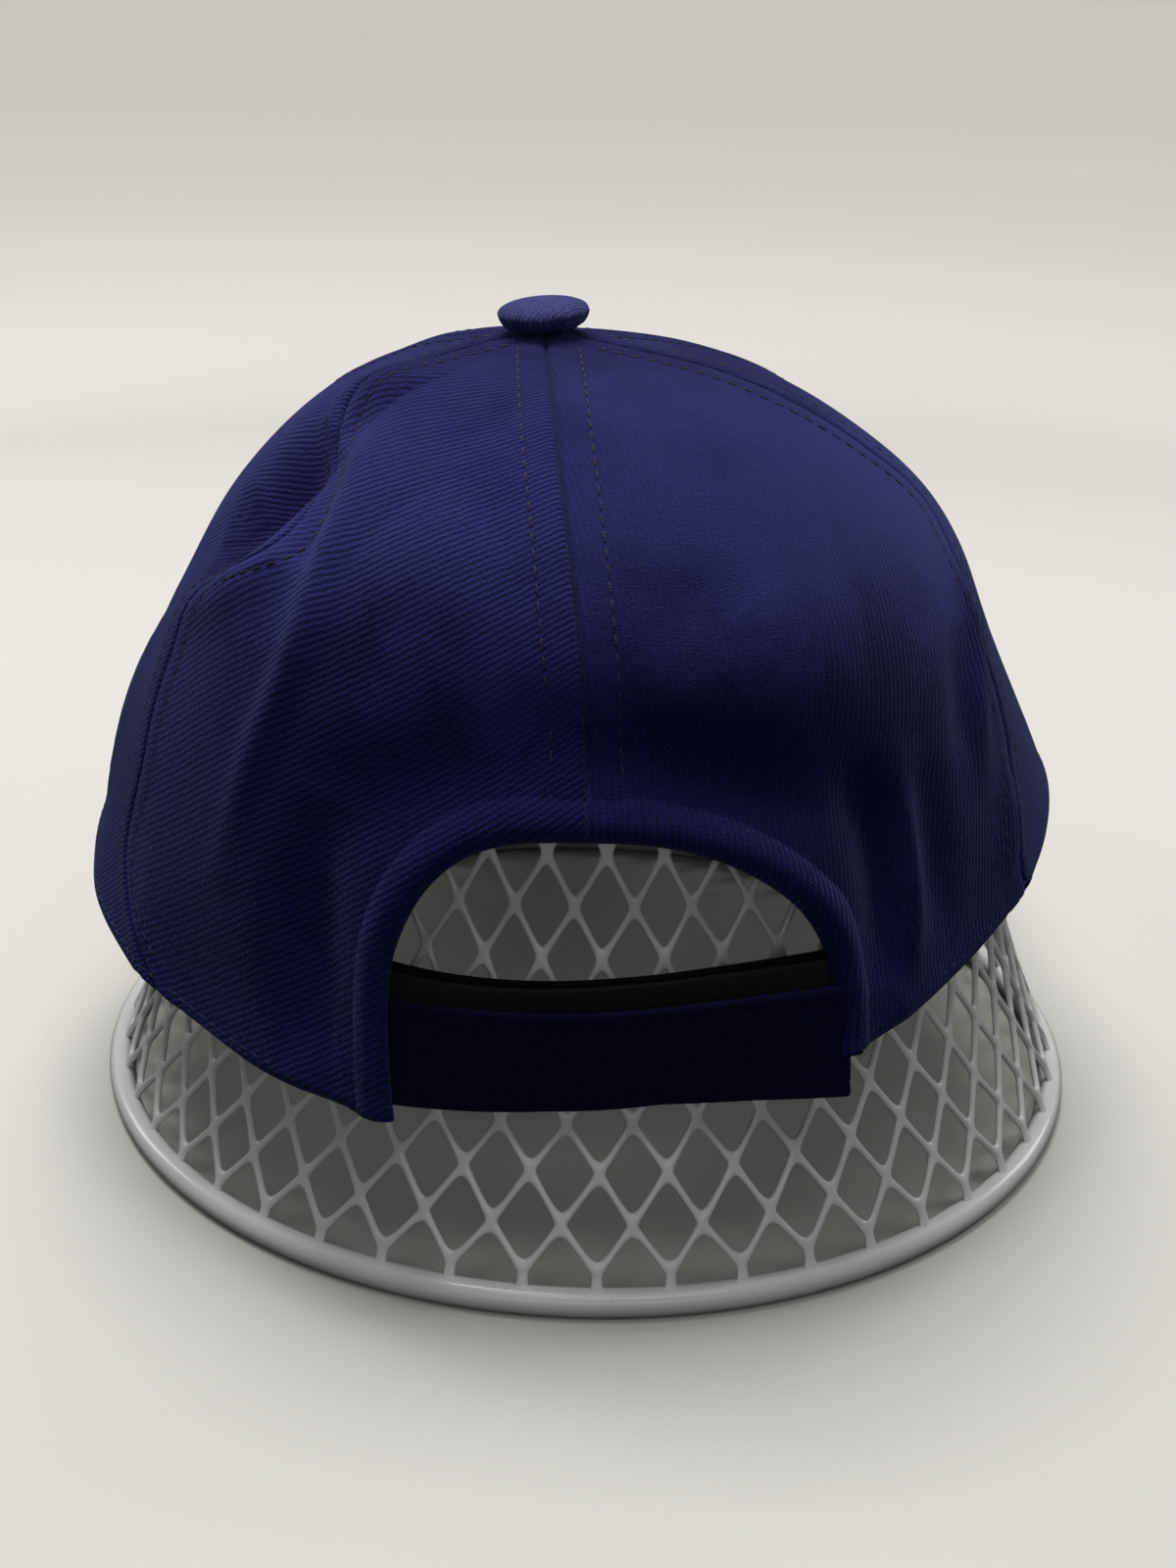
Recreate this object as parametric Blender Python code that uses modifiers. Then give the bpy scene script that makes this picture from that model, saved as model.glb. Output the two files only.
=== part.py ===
"""Six-panel twill cap with a hook-and-loop back strap, resting on an upturned expanded-metal basket.

Metres, +Z up. The back of the cap faces -Y and its visor points to +Y. The origin is on the surface
the basket stands on, under the middle of the whole footprint.
"""

import math

import bmesh
import bpy
from mathutils import Vector

MM = 0.001
GAP = 0.3 * MM  # clearance kept between neighbouring solids
LINING_GAP = 0.8 * MM  # between the curved panels and the flatter pieces that line them

# Basket: an upturned round basket of expanded sheet metal, centred on STAND_CENTRE.
STAND_CENTRE = Vector((0.0, -33.0, 0.0)) * MM
RIM_OUTER_RADIUS = 96.0 * MM
RIM_HALF_WIDTH = 2.3 * MM
RIM_HEIGHT = 4.6 * MM
RIM_SIDES = 12
RIM_FLATTENING = 1.25  # how far the bead's round section runs past its flat top and foot
CELLS_ROUND = 48
CELL_PHASE = 1.75  # degrees from the back to the first knuckle of the lowest row
CELL_ROWS = 10
FIRST_ROW_HEIGHT = 7.2 * MM
LAST_ROW_HEIGHT = 81.0 * MM
WALL_RADIUS_FOOT = 95.2 * MM
WALL_RADIUS_TOP = 71.6 * MM
WALL_FLARE = 1.75  # how much of the flare is gathered near the foot
KNUCKLE_HALF_HEIGHT = 2.0 * MM
KNUCKLE_HALF_WIDTH = 0.9 * MM
STRAND_THICKNESS = 1.5 * MM
PAN_TOP_HEIGHT = 96.0 * MM
PAN_RADIUS = 71.6 * MM
PAN_SHOULDER = 9.0 * MM
PAN_SHEET = 1.0 * MM

# Crown: an oval hem that leans back and to one side, closing up to a pole under the button.
CROWN_CENTRE = Vector((-4.5, -0.8)) * MM  # of the hem, from the basket's axis
CROWN_HALF_WIDTH = 91.5 * MM
CROWN_HALF_LENGTH = 96.3 * MM
POLE = Vector((-11.2, -9.8, 144.8)) * MM
HEM_HEIGHT = 49.4 * MM  # mean height of the hem
HEM_BACK_DROP = 8.9 * MM
HEM_SIDE_TILT = 6.9 * MM
HEM_SADDLE = 5.0 * MM
HEM_FRONT_ARCH = 6.0 * MM
# Shares of the hem's radius left at each share of the crown's height, from hem to pole.
HEIGHT_SHARES = (0, 0.18, 0.38, 0.56, 0.71, 0.84, 0.925, 0.975, 1.0)
LEFT_SHARES = (1, 0.92, 0.835, 0.73, 0.615, 0.475, 0.3, 0.14, 0)
RIGHT_SHARES = (1, 0.94, 0.87, 0.805, 0.705, 0.55, 0.38, 0.2, 0)
FRONT_SHARES = (1, 0.98, 0.935, 0.875, 0.78, 0.62, 0.40, 0.18, 0)
PANEL_TOP = 0.94  # where the panels stop, round the hole for the button's rivet
PANEL_THICKNESS = 1.2 * MM
# Seams in degrees round from the back, growing towards +X.
PANELS = {
    "panel_back_left": (-70, 5),
    "panel_back_right": (5, 75),
    "panel_side_right": (75, 127),
    "panel_front_right": (127, 181),
    "panel_front_left": (181, 235),
    "panel_side_left": (235, 290),
}
SEAMS = {
    "tape_back_centre": 5,
    "tape_back_right": 75,
    "tape_front_right": 127,
    "tape_front_centre": 181,
    "tape_front_left": 235,
    "tape_back_left": 290,
}
TAPE_WIDTH = 12.0 * MM
TAPE_THICKNESS = 0.5 * MM
LINING_FOOT = 0.225  # share of the crown's profile where tapes and buckram start, above the sweatband
TAPE_TOP = 0.8
TAPE_TO_BINDING = 1.5 * MM  # clearance between the centre back tape and the opening's binding
BUCKRAM_THICKNESS = 0.6 * MM
BUCKRAM_TOP = 0.78
BUCKRAM_MARGIN = 7.5 * MM  # clear of the side seam's tape
SWEATBAND_THICKNESS = 1.4 * MM
SWEATBAND_SPAN = (42, 332)
SWEATBAND_FOOT = 0.012  # shares of the way up the crown's profile
SWEATBAND_TOP = 0.2

# Back opening: an arch over the strap.
ARCH_MIDDLE = 7.0  # degrees
ARCH_HALF_SPAN = 25.2  # degrees
ARCH_TOP = 80.0 * MM
ARCH_SQUARENESS = 3.0
BINDING_WIDTH = 9.0 * MM
BINDING_SPREAD = 5.4  # degrees that the binding adds to the arch's half span
BINDING_TURNS = (155, 25)  # how far round the arch the binding goes, which ends above the straps
BINDING_INNER_EDGE = 0.25  # shares of the binding's width
BINDING_OUTER_EDGE = 1.0
BINDING_LIFT = 1.0 * MM  # above the hem, at the arch's feet

# Strap layers, as radii from the basket's axis, from the outside in.
STRAP_THICKNESS = 1.2 * MM
PATCH_THICKNESS = 1.0 * MM
HOOK_STRAP_RADIUS = 91.0 * MM
HOOK_PATCH_RADIUS = HOOK_STRAP_RADIUS - STRAP_THICKNESS - GAP
LOOP_PATCH_RADIUS = HOOK_PATCH_RADIUS - PATCH_THICKNESS - GAP
LOOP_STRAP_RADIUS = LOOP_PATCH_RADIUS - PATCH_THICKNESS - GAP
HOOK_SPAN = (-16.8, 26.3)  # true angles from the basket's axis, in degrees
LOOP_SPAN = (-22.5, 28.5)
HOOK_TAIL_SPAN = (-24.0, -18.2)
LOOP_TAIL_SPAN = (29.6, 34.5)
HOOK_HEIGHTS = (35.0 * MM, 54.0 * MM)
LOOP_HEIGHTS = (39.0 * MM, 58.0 * MM)
STRAP_SLOPE = 0.02  # rise towards +X
PATCH_MARGIN = 3.0  # degrees left bare at each end of a patch
PATCH_EDGE = 1.5 * MM  # strap left bare above and below a patch

# Visor, under the front two panels.
VISOR_HALF_SPAN = 62.0  # degrees of the hem
VISOR_TIP = 161.12 * MM  # from the basket's axis
VISOR_SQUARENESS = 2.3
VISOR_SLOPE = 0.17
VISOR_SIDE_SLOPE = 0.25
VISOR_BOARD_THICKNESS = 2.0 * MM
VISOR_COVER_THICKNESS = 0.9 * MM
VISOR_BOARD_INSET = 1.2 * MM
VISOR_SWEEP = 0.94  # share of its half span where a layer's corner is
VISOR_CLEARANCE = 0.8 * MM  # between the visor and the crown
VISOR_LIFT = 3.0 * MM  # above the hem
VISOR_LAYER_GAP = GAP + 0.1 * MM

# Button and its rivet.
BUTTON_RADIUS = 8.1 * MM
BUTTON_HEIGHT = 5.4 * MM
BUTTON_EDGE = 0.36  # share of the height where the button is widest
BUTTON_UNDERCUT = 0.44
BUTTON_FULLNESS = 0.8  # under 1 makes the dome's shoulder fuller than an ellipse
BUTTON_BASE = POLE.z + 0.7 * MM
RIVET_RADIUS = 1.4 * MM
RIVET_LENGTH = 8.0 * MM
WASHER_RADIUS = 5.0 * MM
WASHER_HOLE_RADIUS = 1.8 * MM
WASHER_THICKNESS = 0.8 * MM
WASHER_DEPTH = 5.2 * MM  # below the pole


def clear_scene():
    for obj in list(bpy.data.objects):
        bpy.data.objects.remove(obj)


def new_collection(name):
    collection = bpy.data.collections.new(name)
    bpy.context.scene.collection.children.link(collection)
    return collection


def make_material(name, colour, roughness, metallic=0.0):
    material = bpy.data.materials.new(name)
    material.use_nodes = True
    shader = material.node_tree.nodes["Principled BSDF"]
    shader.inputs["Base Color"].default_value = (*colour, 1.0)
    shader.inputs["Roughness"].default_value = roughness
    shader.inputs["Metallic"].default_value = metallic
    return material


def add_object(name, mesh, material):
    obj = bpy.data.objects.new(name, mesh)
    obj.data.materials.append(material)
    obj.parent = ROOT
    PARTS.objects.link(obj)
    return obj


def solidify(obj, thickness, offset=-1.0):
    modifier = obj.modifiers.new("Sheet", "SOLIDIFY")
    modifier.thickness = thickness
    modifier.offset = offset
    modifier.use_even_offset = True
    return modifier


def sheet_from_rows(name, rows, material, thickness, offset=-1.0):
    """A sheet lofted through rows of points, all rows the same length, given a thickness."""
    mesh = bpy.data.meshes.new(name)
    shape = bmesh.new()
    grid = [[shape.verts.new(point) for point in row] for row in rows]
    for low, high in zip(grid, grid[1:]):
        for k in range(len(low) - 1):
            shape.faces.new((low[k], low[k + 1], high[k + 1], high[k]))
    shape.to_mesh(mesh)
    shape.free()
    mesh.shade_smooth()
    obj = add_object(name, mesh, material)
    solidify(obj, thickness, offset)
    return obj


def turned(name, profile, steps, material):
    """A closed outline of (radius, height) points turned round the Z axis."""
    mesh = bpy.data.meshes.new(name)
    points = [(radius, 0.0, height) for radius, height in profile]
    edges = [(k, (k + 1) % len(points)) for k in range(len(points))]
    if profile[0][0] == 0.0 and profile[-1][0] == 0.0:
        edges.pop()
    mesh.from_pydata(points, edges, [])
    obj = add_object(name, mesh, material)
    screw = obj.modifiers.new("Turn", "SCREW")
    screw.steps = steps
    screw.render_steps = steps
    screw.use_merge_vertices = True
    screw.merge_threshold = 0.00001
    screw.use_smooth_shade = True
    return obj


def spread(low, high, count):
    return [low + (high - low) * k / (count - 1) for k in range(count)]


def eased(low, high, count):
    """Like spread, but with the points crowded towards low."""
    return [low + (high - low) * (1 - math.cos(0.5 * math.pi * k / (count - 1))) for k in range(count)]


# The crown's surface.


def through(values, share):
    """A smooth curve through equally spaced values (Catmull-Rom), read at a share from 0 to 1."""
    spans = len(values) - 1
    place = min(max(share, 0.0), 1.0) * spans
    k = min(int(place), spans - 1)
    u = place - k
    here, there = values[k], values[k + 1]
    before = values[k - 1] if k > 0 else 2 * here - there
    after = values[k + 2] if k + 2 <= spans else 2 * there - here
    bend = 2 * before - 5 * here + 4 * there - after
    twist = 3 * here - before - 3 * there + after
    return 0.5 * (2 * here + (there - before) * u + bend * u * u + twist * u**3)


def hem_height(azimuth):
    front = max(0.0, -math.cos(azimuth)) ** 4
    return (
        HEM_HEIGHT
        - HEM_BACK_DROP * math.cos(azimuth)
        + HEM_SIDE_TILT * math.sin(azimuth)
        - HEM_SADDLE * math.cos(2 * azimuth)
        + HEM_FRONT_ARCH * front
    )


def crown_surface(azimuth, share):
    rise = through(HEIGHT_SHARES, share)
    rightness = 0.5 + 0.5 * math.sin(azimuth)
    frontness = max(0.0, -math.cos(azimuth)) ** 2
    side = through(LEFT_SHARES, share) * (1 - rightness) + through(RIGHT_SHARES, share) * rightness
    reach = side * (1 - frontness) + through(FRONT_SHARES, share) * frontness
    base = hem_height(azimuth)
    axis = CROWN_CENTRE.lerp(POLE.xy, rise)
    return Vector(
        (
            axis.x + CROWN_HALF_WIDTH * math.sin(azimuth) * reach,
            axis.y - CROWN_HALF_LENGTH * math.cos(azimuth) * reach,
            base + (POLE.z - base) * rise,
        )
    )


def crown_point(azimuth, share, depth=0.0):
    """A point of the crown, a depth below its outer face."""
    step = 0.01
    share = min(max(share, step), 1.0 - step)
    across = crown_surface(azimuth + step, share) - crown_surface(azimuth - step, share)
    up = crown_surface(azimuth, share + step) - crown_surface(azimuth, share - step)
    return crown_surface(azimuth, share) - across.cross(up).normalized() * depth


def turn_for(azimuth, share, distance):
    """The change of azimuth that covers a distance along the crown's surface."""
    step = 0.01
    return distance * step / (crown_surface(azimuth + step, share) - crown_surface(azimuth, share)).length


def share_at_height(azimuth, height):
    low, high = 0.0, 1.0
    for _ in range(30):
        middle = 0.5 * (low + high)
        if crown_surface(azimuth, middle).z < height:
            low = middle
        else:
            high = middle
    return low


def arch_height(azimuth):
    """Height of the back opening's edge, or 0 outside the opening."""
    across = abs(math.degrees(azimuth) - ARCH_MIDDLE) / ARCH_HALF_SPAN
    if across >= 1:
        return 0.0
    base = hem_height(azimuth)
    return base + (ARCH_TOP - base) * (1 - across**ARCH_SQUARENESS) ** (1 / ARCH_SQUARENESS)


def panel_columns(first, last):
    """Azimuths of a panel's columns in degrees, crowded where the back opening's edge is steep."""
    left_end = ARCH_MIDDLE - ARCH_HALF_SPAN
    right_end = ARCH_MIDDLE + ARCH_HALF_SPAN
    if first < left_end < last:
        return spread(first, left_end, 7)[:-1] + eased(left_end, last, 9)
    if first < right_end < last:
        return eased(right_end, first, 9)[::-1] + spread(right_end, last, 6)[1:]
    return spread(first, last, 8)


def add_panel(name, first, last, material):
    half_seam = 0.5 * GAP
    rows = []
    columns = [math.radians(a) for a in panel_columns(first, last)]
    middle = 0.5 * (columns[0] + columns[-1])
    for level in spread(0.0, 1.0, 10):
        row = []
        for azimuth in columns:
            edge = share_at_height(azimuth, arch_height(azimuth))
            share = edge + (PANEL_TOP - edge) * level
            squeeze = 1 - turn_for(azimuth, share, half_seam) / (columns[-1] - middle)
            row.append(crown_point(middle + (azimuth - middle) * squeeze, share))
        rows.append(row)
    return sheet_from_rows(name, rows, material, PANEL_THICKNESS)


def add_strip(name, azimuths, low, high, depth, thickness, material, levels=8):
    """A band inside the crown between two profile shares. azimuths(share) gives its columns."""
    rows = [[crown_point(a, share, depth) for a in azimuths(share)] for share in spread(low, high, levels)]
    return sheet_from_rows(name, rows, material, thickness)


def add_tape(name, seam, material):
    """The tape that covers a seam inside the crown."""
    front_centre = name == "tape_front_centre"
    depth = PANEL_THICKNESS + LINING_GAP + (BUCKRAM_THICKNESS + GAP if front_centre else 0.0)
    middle = math.radians(seam)
    low = LINING_FOOT
    if name == "tape_back_centre":
        low = share_at_height(middle, ARCH_TOP + BINDING_WIDTH + TAPE_TO_BINDING)

    def azimuths(share):
        half = turn_for(middle, share, 0.5 * TAPE_WIDTH)
        return spread(middle - half, middle + half, 3)

    return add_strip(name, azimuths, low, TAPE_TOP, depth, TAPE_THICKNESS, material)


def add_buckram(name, first, last, material):
    """The stiffener behind a front panel, clear of the side seam's tape."""
    def azimuths(share):
        start, end = math.radians(first), math.radians(last)
        side_first = name.endswith("right")
        start += turn_for(start, share, BUCKRAM_MARGIN if side_first else GAP)
        end -= turn_for(end, share, GAP if side_first else BUCKRAM_MARGIN)
        return spread(start, end, 7)

    depth = PANEL_THICKNESS + LINING_GAP
    return add_strip(name, azimuths, LINING_FOOT, BUCKRAM_TOP, depth, BUCKRAM_THICKNESS, material)


def add_sweatband(material):
    first, last = (math.radians(a) for a in SWEATBAND_SPAN)
    columns = spread(first, last, 29)
    depth = PANEL_THICKNESS + 2 * GAP
    return add_strip(
        "sweatband",
        lambda share: columns,
        SWEATBAND_FOOT,
        SWEATBAND_TOP,
        depth,
        SWEATBAND_THICKNESS,
        material,
        levels=3,
    )


def add_opening_binding(material):
    """The facing tape that is folded round the back opening's edge, inside the panels."""
    depth = PANEL_THICKNESS + GAP
    rows = []
    for outward in (BINDING_INNER_EDGE, BINDING_OUTER_EDGE):
        row = []
        for turn in spread(*map(math.radians, BINDING_TURNS), 21):
            power = 2 / ARCH_SQUARENESS
            across = math.copysign(abs(math.cos(turn)) ** power, math.cos(turn))
            azimuth = math.radians(ARCH_MIDDLE + (ARCH_HALF_SPAN + BINDING_SPREAD * outward) * across)
            base = hem_height(azimuth) + BINDING_LIFT
            height = base + (ARCH_TOP + BINDING_WIDTH * outward - base) * math.sin(turn) ** power
            row.append(crown_point(azimuth, share_at_height(azimuth, height), depth))
        rows.append(row)
    return sheet_from_rows("opening_binding", rows, material, TAPE_THICKNESS)


# Straps.


def around_axis(radius, degrees, height):
    angle = math.radians(degrees)
    return Vector((radius * math.sin(angle), -radius * math.cos(angle), height))


def add_band(name, radius, span, heights, thickness, material):
    """A flat band bent round the basket's axis, whose outer face has the given radius."""
    rows = []
    for height in heights:
        row = []
        for degrees in spread(span[0], span[1], 13):
            point = around_axis(radius, degrees, height)
            point.z += STRAP_SLOPE * point.x
            row.append(point)
        rows.append(row)
    return sheet_from_rows(name, rows, material, thickness)


def patch_span(span):
    return (span[0] + PATCH_MARGIN, span[1] - PATCH_MARGIN)


def patch_heights(heights):
    return (heights[0] + PATCH_EDGE, heights[1] - PATCH_EDGE)


def add_straps(strap, hooks, loops):
    outer, inner = HOOK_STRAP_RADIUS, LOOP_STRAP_RADIUS
    add_band("hook_strap", outer, HOOK_SPAN, HOOK_HEIGHTS, STRAP_THICKNESS, strap)
    add_band("hook_strap_sewn_end", outer, HOOK_TAIL_SPAN, HOOK_HEIGHTS, STRAP_THICKNESS, strap)
    add_band("loop_strap", inner, LOOP_SPAN, LOOP_HEIGHTS, STRAP_THICKNESS, strap)
    add_band("loop_strap_sewn_end", inner, LOOP_TAIL_SPAN, LOOP_HEIGHTS, STRAP_THICKNESS, strap)
    hook_heights = patch_heights(HOOK_HEIGHTS)
    loop_heights = patch_heights(LOOP_HEIGHTS)
    add_band("hook_patch", HOOK_PATCH_RADIUS, patch_span(HOOK_SPAN), hook_heights, PATCH_THICKNESS, hooks)
    add_band("loop_patch", LOOP_PATCH_RADIUS, patch_span(LOOP_SPAN), loop_heights, PATCH_THICKNESS, loops)


# Visor.


def visor_point(sweep, outward, lift):
    """A point of the visor: sweep from -1 to 1 across it, outward from 0 at the hem to 1 at its edge."""
    inner = crown_surface(math.pi - sweep * math.radians(VISOR_HALF_SPAN), 0.0)
    corner = crown_surface(math.pi - math.radians(VISOR_HALF_SPAN), 0.0)
    middle_x = CROWN_CENTRE.x
    turn = sweep * math.pi / 2
    power = 2 / VISOR_SQUARENESS
    reach = math.copysign(abs(math.sin(turn)) ** power, sweep)
    outer = Vector(
        (
            middle_x + (corner.x - middle_x) * reach,
            corner.y + (VISOR_TIP - corner.y) * abs(math.cos(turn)) ** power,
            0.0,
        )
    )
    away = outer - Vector((inner.x, inner.y, 0.0))
    clear = (inner - Vector((CROWN_CENTRE.x, CROWN_CENTRE.y, inner.z))).normalized() * VISOR_CLEARANCE
    slope = VISOR_SLOPE + VISOR_SIDE_SLOPE * math.sin(turn) ** 2
    point = inner + clear + Vector((away.x, away.y, 0.0)) * outward
    point.z = inner.z + VISOR_LIFT - slope * away.length * outward + lift
    return point


def add_visor_layer(name, reach, lift, thickness, material):
    columns = spread(-VISOR_SWEEP, VISOR_SWEEP, 17)
    rows = [[visor_point(-c, outward, lift) for c in columns] for outward in spread(0.0, reach, 5)]
    return sheet_from_rows(name, rows, material, thickness, offset=0.0)


def add_visor(cover, board):
    stack = 0.5 * (VISOR_BOARD_THICKNESS + VISOR_COVER_THICKNESS) + VISOR_LAYER_GAP
    board_reach = 1.0 - VISOR_BOARD_INSET / (VISOR_TIP - CROWN_HALF_LENGTH)
    add_visor_layer("visor_board", board_reach, 0.0, VISOR_BOARD_THICKNESS, board)
    add_visor_layer("visor_upper_cover", 1.0, stack, VISOR_COVER_THICKNESS, cover)
    add_visor_layer("visor_under_cover", 1.0, -stack, VISOR_COVER_THICKNESS, cover)


# Button.


def add_button(fabric, metal):
    """A domed, cloth-covered button; its rivet goes through the crown to a washer inside."""
    profile = [(0.0, BUTTON_HEIGHT)]
    for turn in spread(90, -55, 9)[1:]:
        a = math.radians(turn)
        fullness = BUTTON_FULLNESS if turn > 0 else 1.0
        swell = 1.0 - BUTTON_EDGE if turn > 0 else BUTTON_UNDERCUT
        height = BUTTON_HEIGHT * (BUTTON_EDGE + swell * math.sin(a))
        profile.append((BUTTON_RADIUS * math.cos(a) ** fullness, max(height, 0.0)))
    profile.append((0.0, 0.0))
    button = turned("button", profile, 32, fabric)
    button.location = (POLE.x, POLE.y, BUTTON_BASE)
    bpy.ops.mesh.primitive_cylinder_add(vertices=16, radius=RIVET_RADIUS, depth=RIVET_LENGTH)
    rivet_top = BUTTON_BASE - GAP
    adopt("button_rivet", metal, (POLE.x, POLE.y, rivet_top - 0.5 * RIVET_LENGTH))
    ring = [
        (WASHER_HOLE_RADIUS, 0.0),
        (WASHER_HOLE_RADIUS, WASHER_THICKNESS),
        (WASHER_RADIUS, WASHER_THICKNESS),
        (WASHER_RADIUS, 0.0),
    ]
    washer = turned("button_washer", ring, 24, metal)
    washer.location = (POLE.x, POLE.y, POLE.z - WASHER_DEPTH)


def adopt(name, material, location):
    """Names the primitive that was just added and puts it with the parts."""
    obj = bpy.context.object
    obj.name = name
    obj.data.materials.append(material)
    for collection in list(obj.users_collection):
        collection.objects.unlink(obj)
    PARTS.objects.link(obj)
    obj.parent = ROOT
    obj.location = location
    return obj


# Basket.


def wall_radius(height):
    """The basket's wall flares out towards its rim."""
    share = min(max(height / LAST_ROW_HEIGHT, 0.0), 1.0)
    return WALL_RADIUS_TOP + (WALL_RADIUS_FOOT - WALL_RADIUS_TOP) * (1 - share) ** WALL_FLARE


def row_height(row):
    """The cells grow slightly taller up the wall, where the sheet was stretched least."""
    share = row / (CELL_ROWS - 1)
    return FIRST_ROW_HEIGHT + (LAST_ROW_HEIGHT - FIRST_ROW_HEIGHT) * (0.82 * share + 0.18 * share**2)


def wall_point(angle, height):
    radius = wall_radius(height)
    return Vector((radius * math.sin(angle), -radius * math.cos(angle), height))


def add_basket_wall(material):
    """Expanded metal: rows of knuckles, each joined to the two nearest above by slanted strands."""
    pitch = 2 * math.pi / CELLS_ROUND
    mesh = bpy.data.meshes.new("basket_wall")
    shape = bmesh.new()
    knuckles = []
    for row in range(CELL_ROWS):
        height = row_height(row)
        half_turn = KNUCKLE_HALF_WIDTH / wall_radius(height)
        ring = []
        for k in range(CELLS_ROUND):
            angle = math.radians(CELL_PHASE) + (k + 0.5 * (row % 2)) * pitch
            ring.append(
                {
                    "top": shape.verts.new(wall_point(angle, height + KNUCKLE_HALF_HEIGHT)),
                    "right": shape.verts.new(wall_point(angle + half_turn, height)),
                    "bottom": shape.verts.new(wall_point(angle, height - KNUCKLE_HALF_HEIGHT)),
                    "left": shape.verts.new(wall_point(angle - half_turn, height)),
                }
            )
        knuckles.append(ring)
    for row, ring in enumerate(knuckles):
        for k, knuckle in enumerate(ring):
            shape.faces.new([knuckle[side] for side in ("top", "left", "bottom", "right")])
            if row == CELL_ROWS - 1:
                continue
            above = knuckles[row + 1]
            to_right = above[(k + row % 2) % CELLS_ROUND]
            to_left = above[(k + row % 2 - 1) % CELLS_ROUND]
            shape.faces.new((knuckle["top"], knuckle["right"], to_right["bottom"], to_right["left"]))
            shape.faces.new((knuckle["left"], knuckle["top"], to_left["right"], to_left["bottom"]))
    shape.to_mesh(mesh)
    shape.free()
    wall = add_object("basket_wall", mesh, material)
    wall.location = STAND_CENTRE - ROOT.location
    solidify(wall, STRAND_THICKNESS, offset=0.0)


def add_rim(material):
    """The rolled rim: a bead with a flat underside that the basket stands on."""
    middle = RIM_OUTER_RADIUS - RIM_HALF_WIDTH
    half_step = math.pi / RIM_SIDES
    profile = []
    for k in range(RIM_SIDES):
        turn = 0.5 * math.pi + (2 * k + 1) * half_step
        radius = middle - RIM_HALF_WIDTH * math.cos(turn) / math.cos(half_step)
        height = 0.5 * RIM_HEIGHT * (1 + RIM_FLATTENING * math.sin(turn))
        profile.append((radius, min(max(height, 0.0), RIM_HEIGHT)))
    rim = turned("basket_rim", profile, 64, material)
    rim.location = STAND_CENTRE - ROOT.location


def add_pan(material):
    """The basket's own floor, now on top: a pressed pan whose skirt meets the wall's last row."""
    skirt_foot = LAST_ROW_HEIGHT + KNUCKLE_HALF_HEIGHT + GAP
    middle = (PAN_RADIUS - PAN_SHOULDER, PAN_TOP_HEIGHT - PAN_SHOULDER)
    turns = [math.radians(a) for a in spread(90, 0, 6)]

    def shoulder(radius):
        return [(middle[0] + radius * math.cos(a), middle[1] + radius * math.sin(a)) for a in turns]

    outside = [(0.0, PAN_TOP_HEIGHT), *shoulder(PAN_SHOULDER), (PAN_RADIUS, skirt_foot)]
    inner = shoulder(PAN_SHOULDER - PAN_SHEET)[::-1]
    inside = [(PAN_RADIUS - PAN_SHEET, skirt_foot), *inner, (0.0, PAN_TOP_HEIGHT - PAN_SHEET)]
    pan = turned("basket_pan", outside + inside, 48, material)
    pan.location = STAND_CENTRE - ROOT.location


clear_scene()
PARTS = new_collection("cap_on_basket_stand")
ROOT = bpy.data.objects.new("stand_centre", None)
ROOT.location = STAND_CENTRE
PARTS.objects.link(ROOT)

twill = make_material("navy_twill", (0.02, 0.03, 0.16), 0.9)
tape_cloth = make_material("seam_tape", (0.02, 0.025, 0.10), 0.9)
stiffener = make_material("buckram", (0.62, 0.62, 0.60), 0.9)
band_cloth = make_material("sweatband_twill", (0.02, 0.025, 0.12), 0.9)
strap_cloth = make_material("strap_cloth", (0.008, 0.010, 0.06), 0.9)
hook_tape = make_material("hook_tape", (0.006, 0.007, 0.03), 0.6)
loop_tape = make_material("loop_tape", (0.006, 0.007, 0.03), 0.95)
board_plastic = make_material("board_plastic", (0.75, 0.75, 0.73), 0.5)
rivet_metal = make_material("rivet_metal", (0.60, 0.60, 0.62), 0.35, 1.0)
enamel = make_material("white_enamel", (0.85, 0.85, 0.84), 0.2)

for panel, (start, end) in PANELS.items():
    add_panel(panel, start, end, twill)
for tape, position in SEAMS.items():
    add_tape(tape, position, tape_cloth)
for side in ("right", "left"):
    add_buckram("buckram_" + side, *PANELS["panel_front_" + side], stiffener)
add_sweatband(band_cloth)
add_opening_binding(tape_cloth)
add_straps(strap_cloth, hook_tape, loop_tape)
add_visor(twill, board_plastic)
add_button(twill, rivet_metal)
add_basket_wall(enamel)
add_rim(enamel)
add_pan(enamel)
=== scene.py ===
"""Looks for a twill cap that rests on an upturned basket of expanded metal.

The back of the cap faces -Y and +Z is up. Shapes are worked out in millimetres from the basket's axis,
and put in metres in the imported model's frame when a mesh is made.
"""

import math

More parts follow.
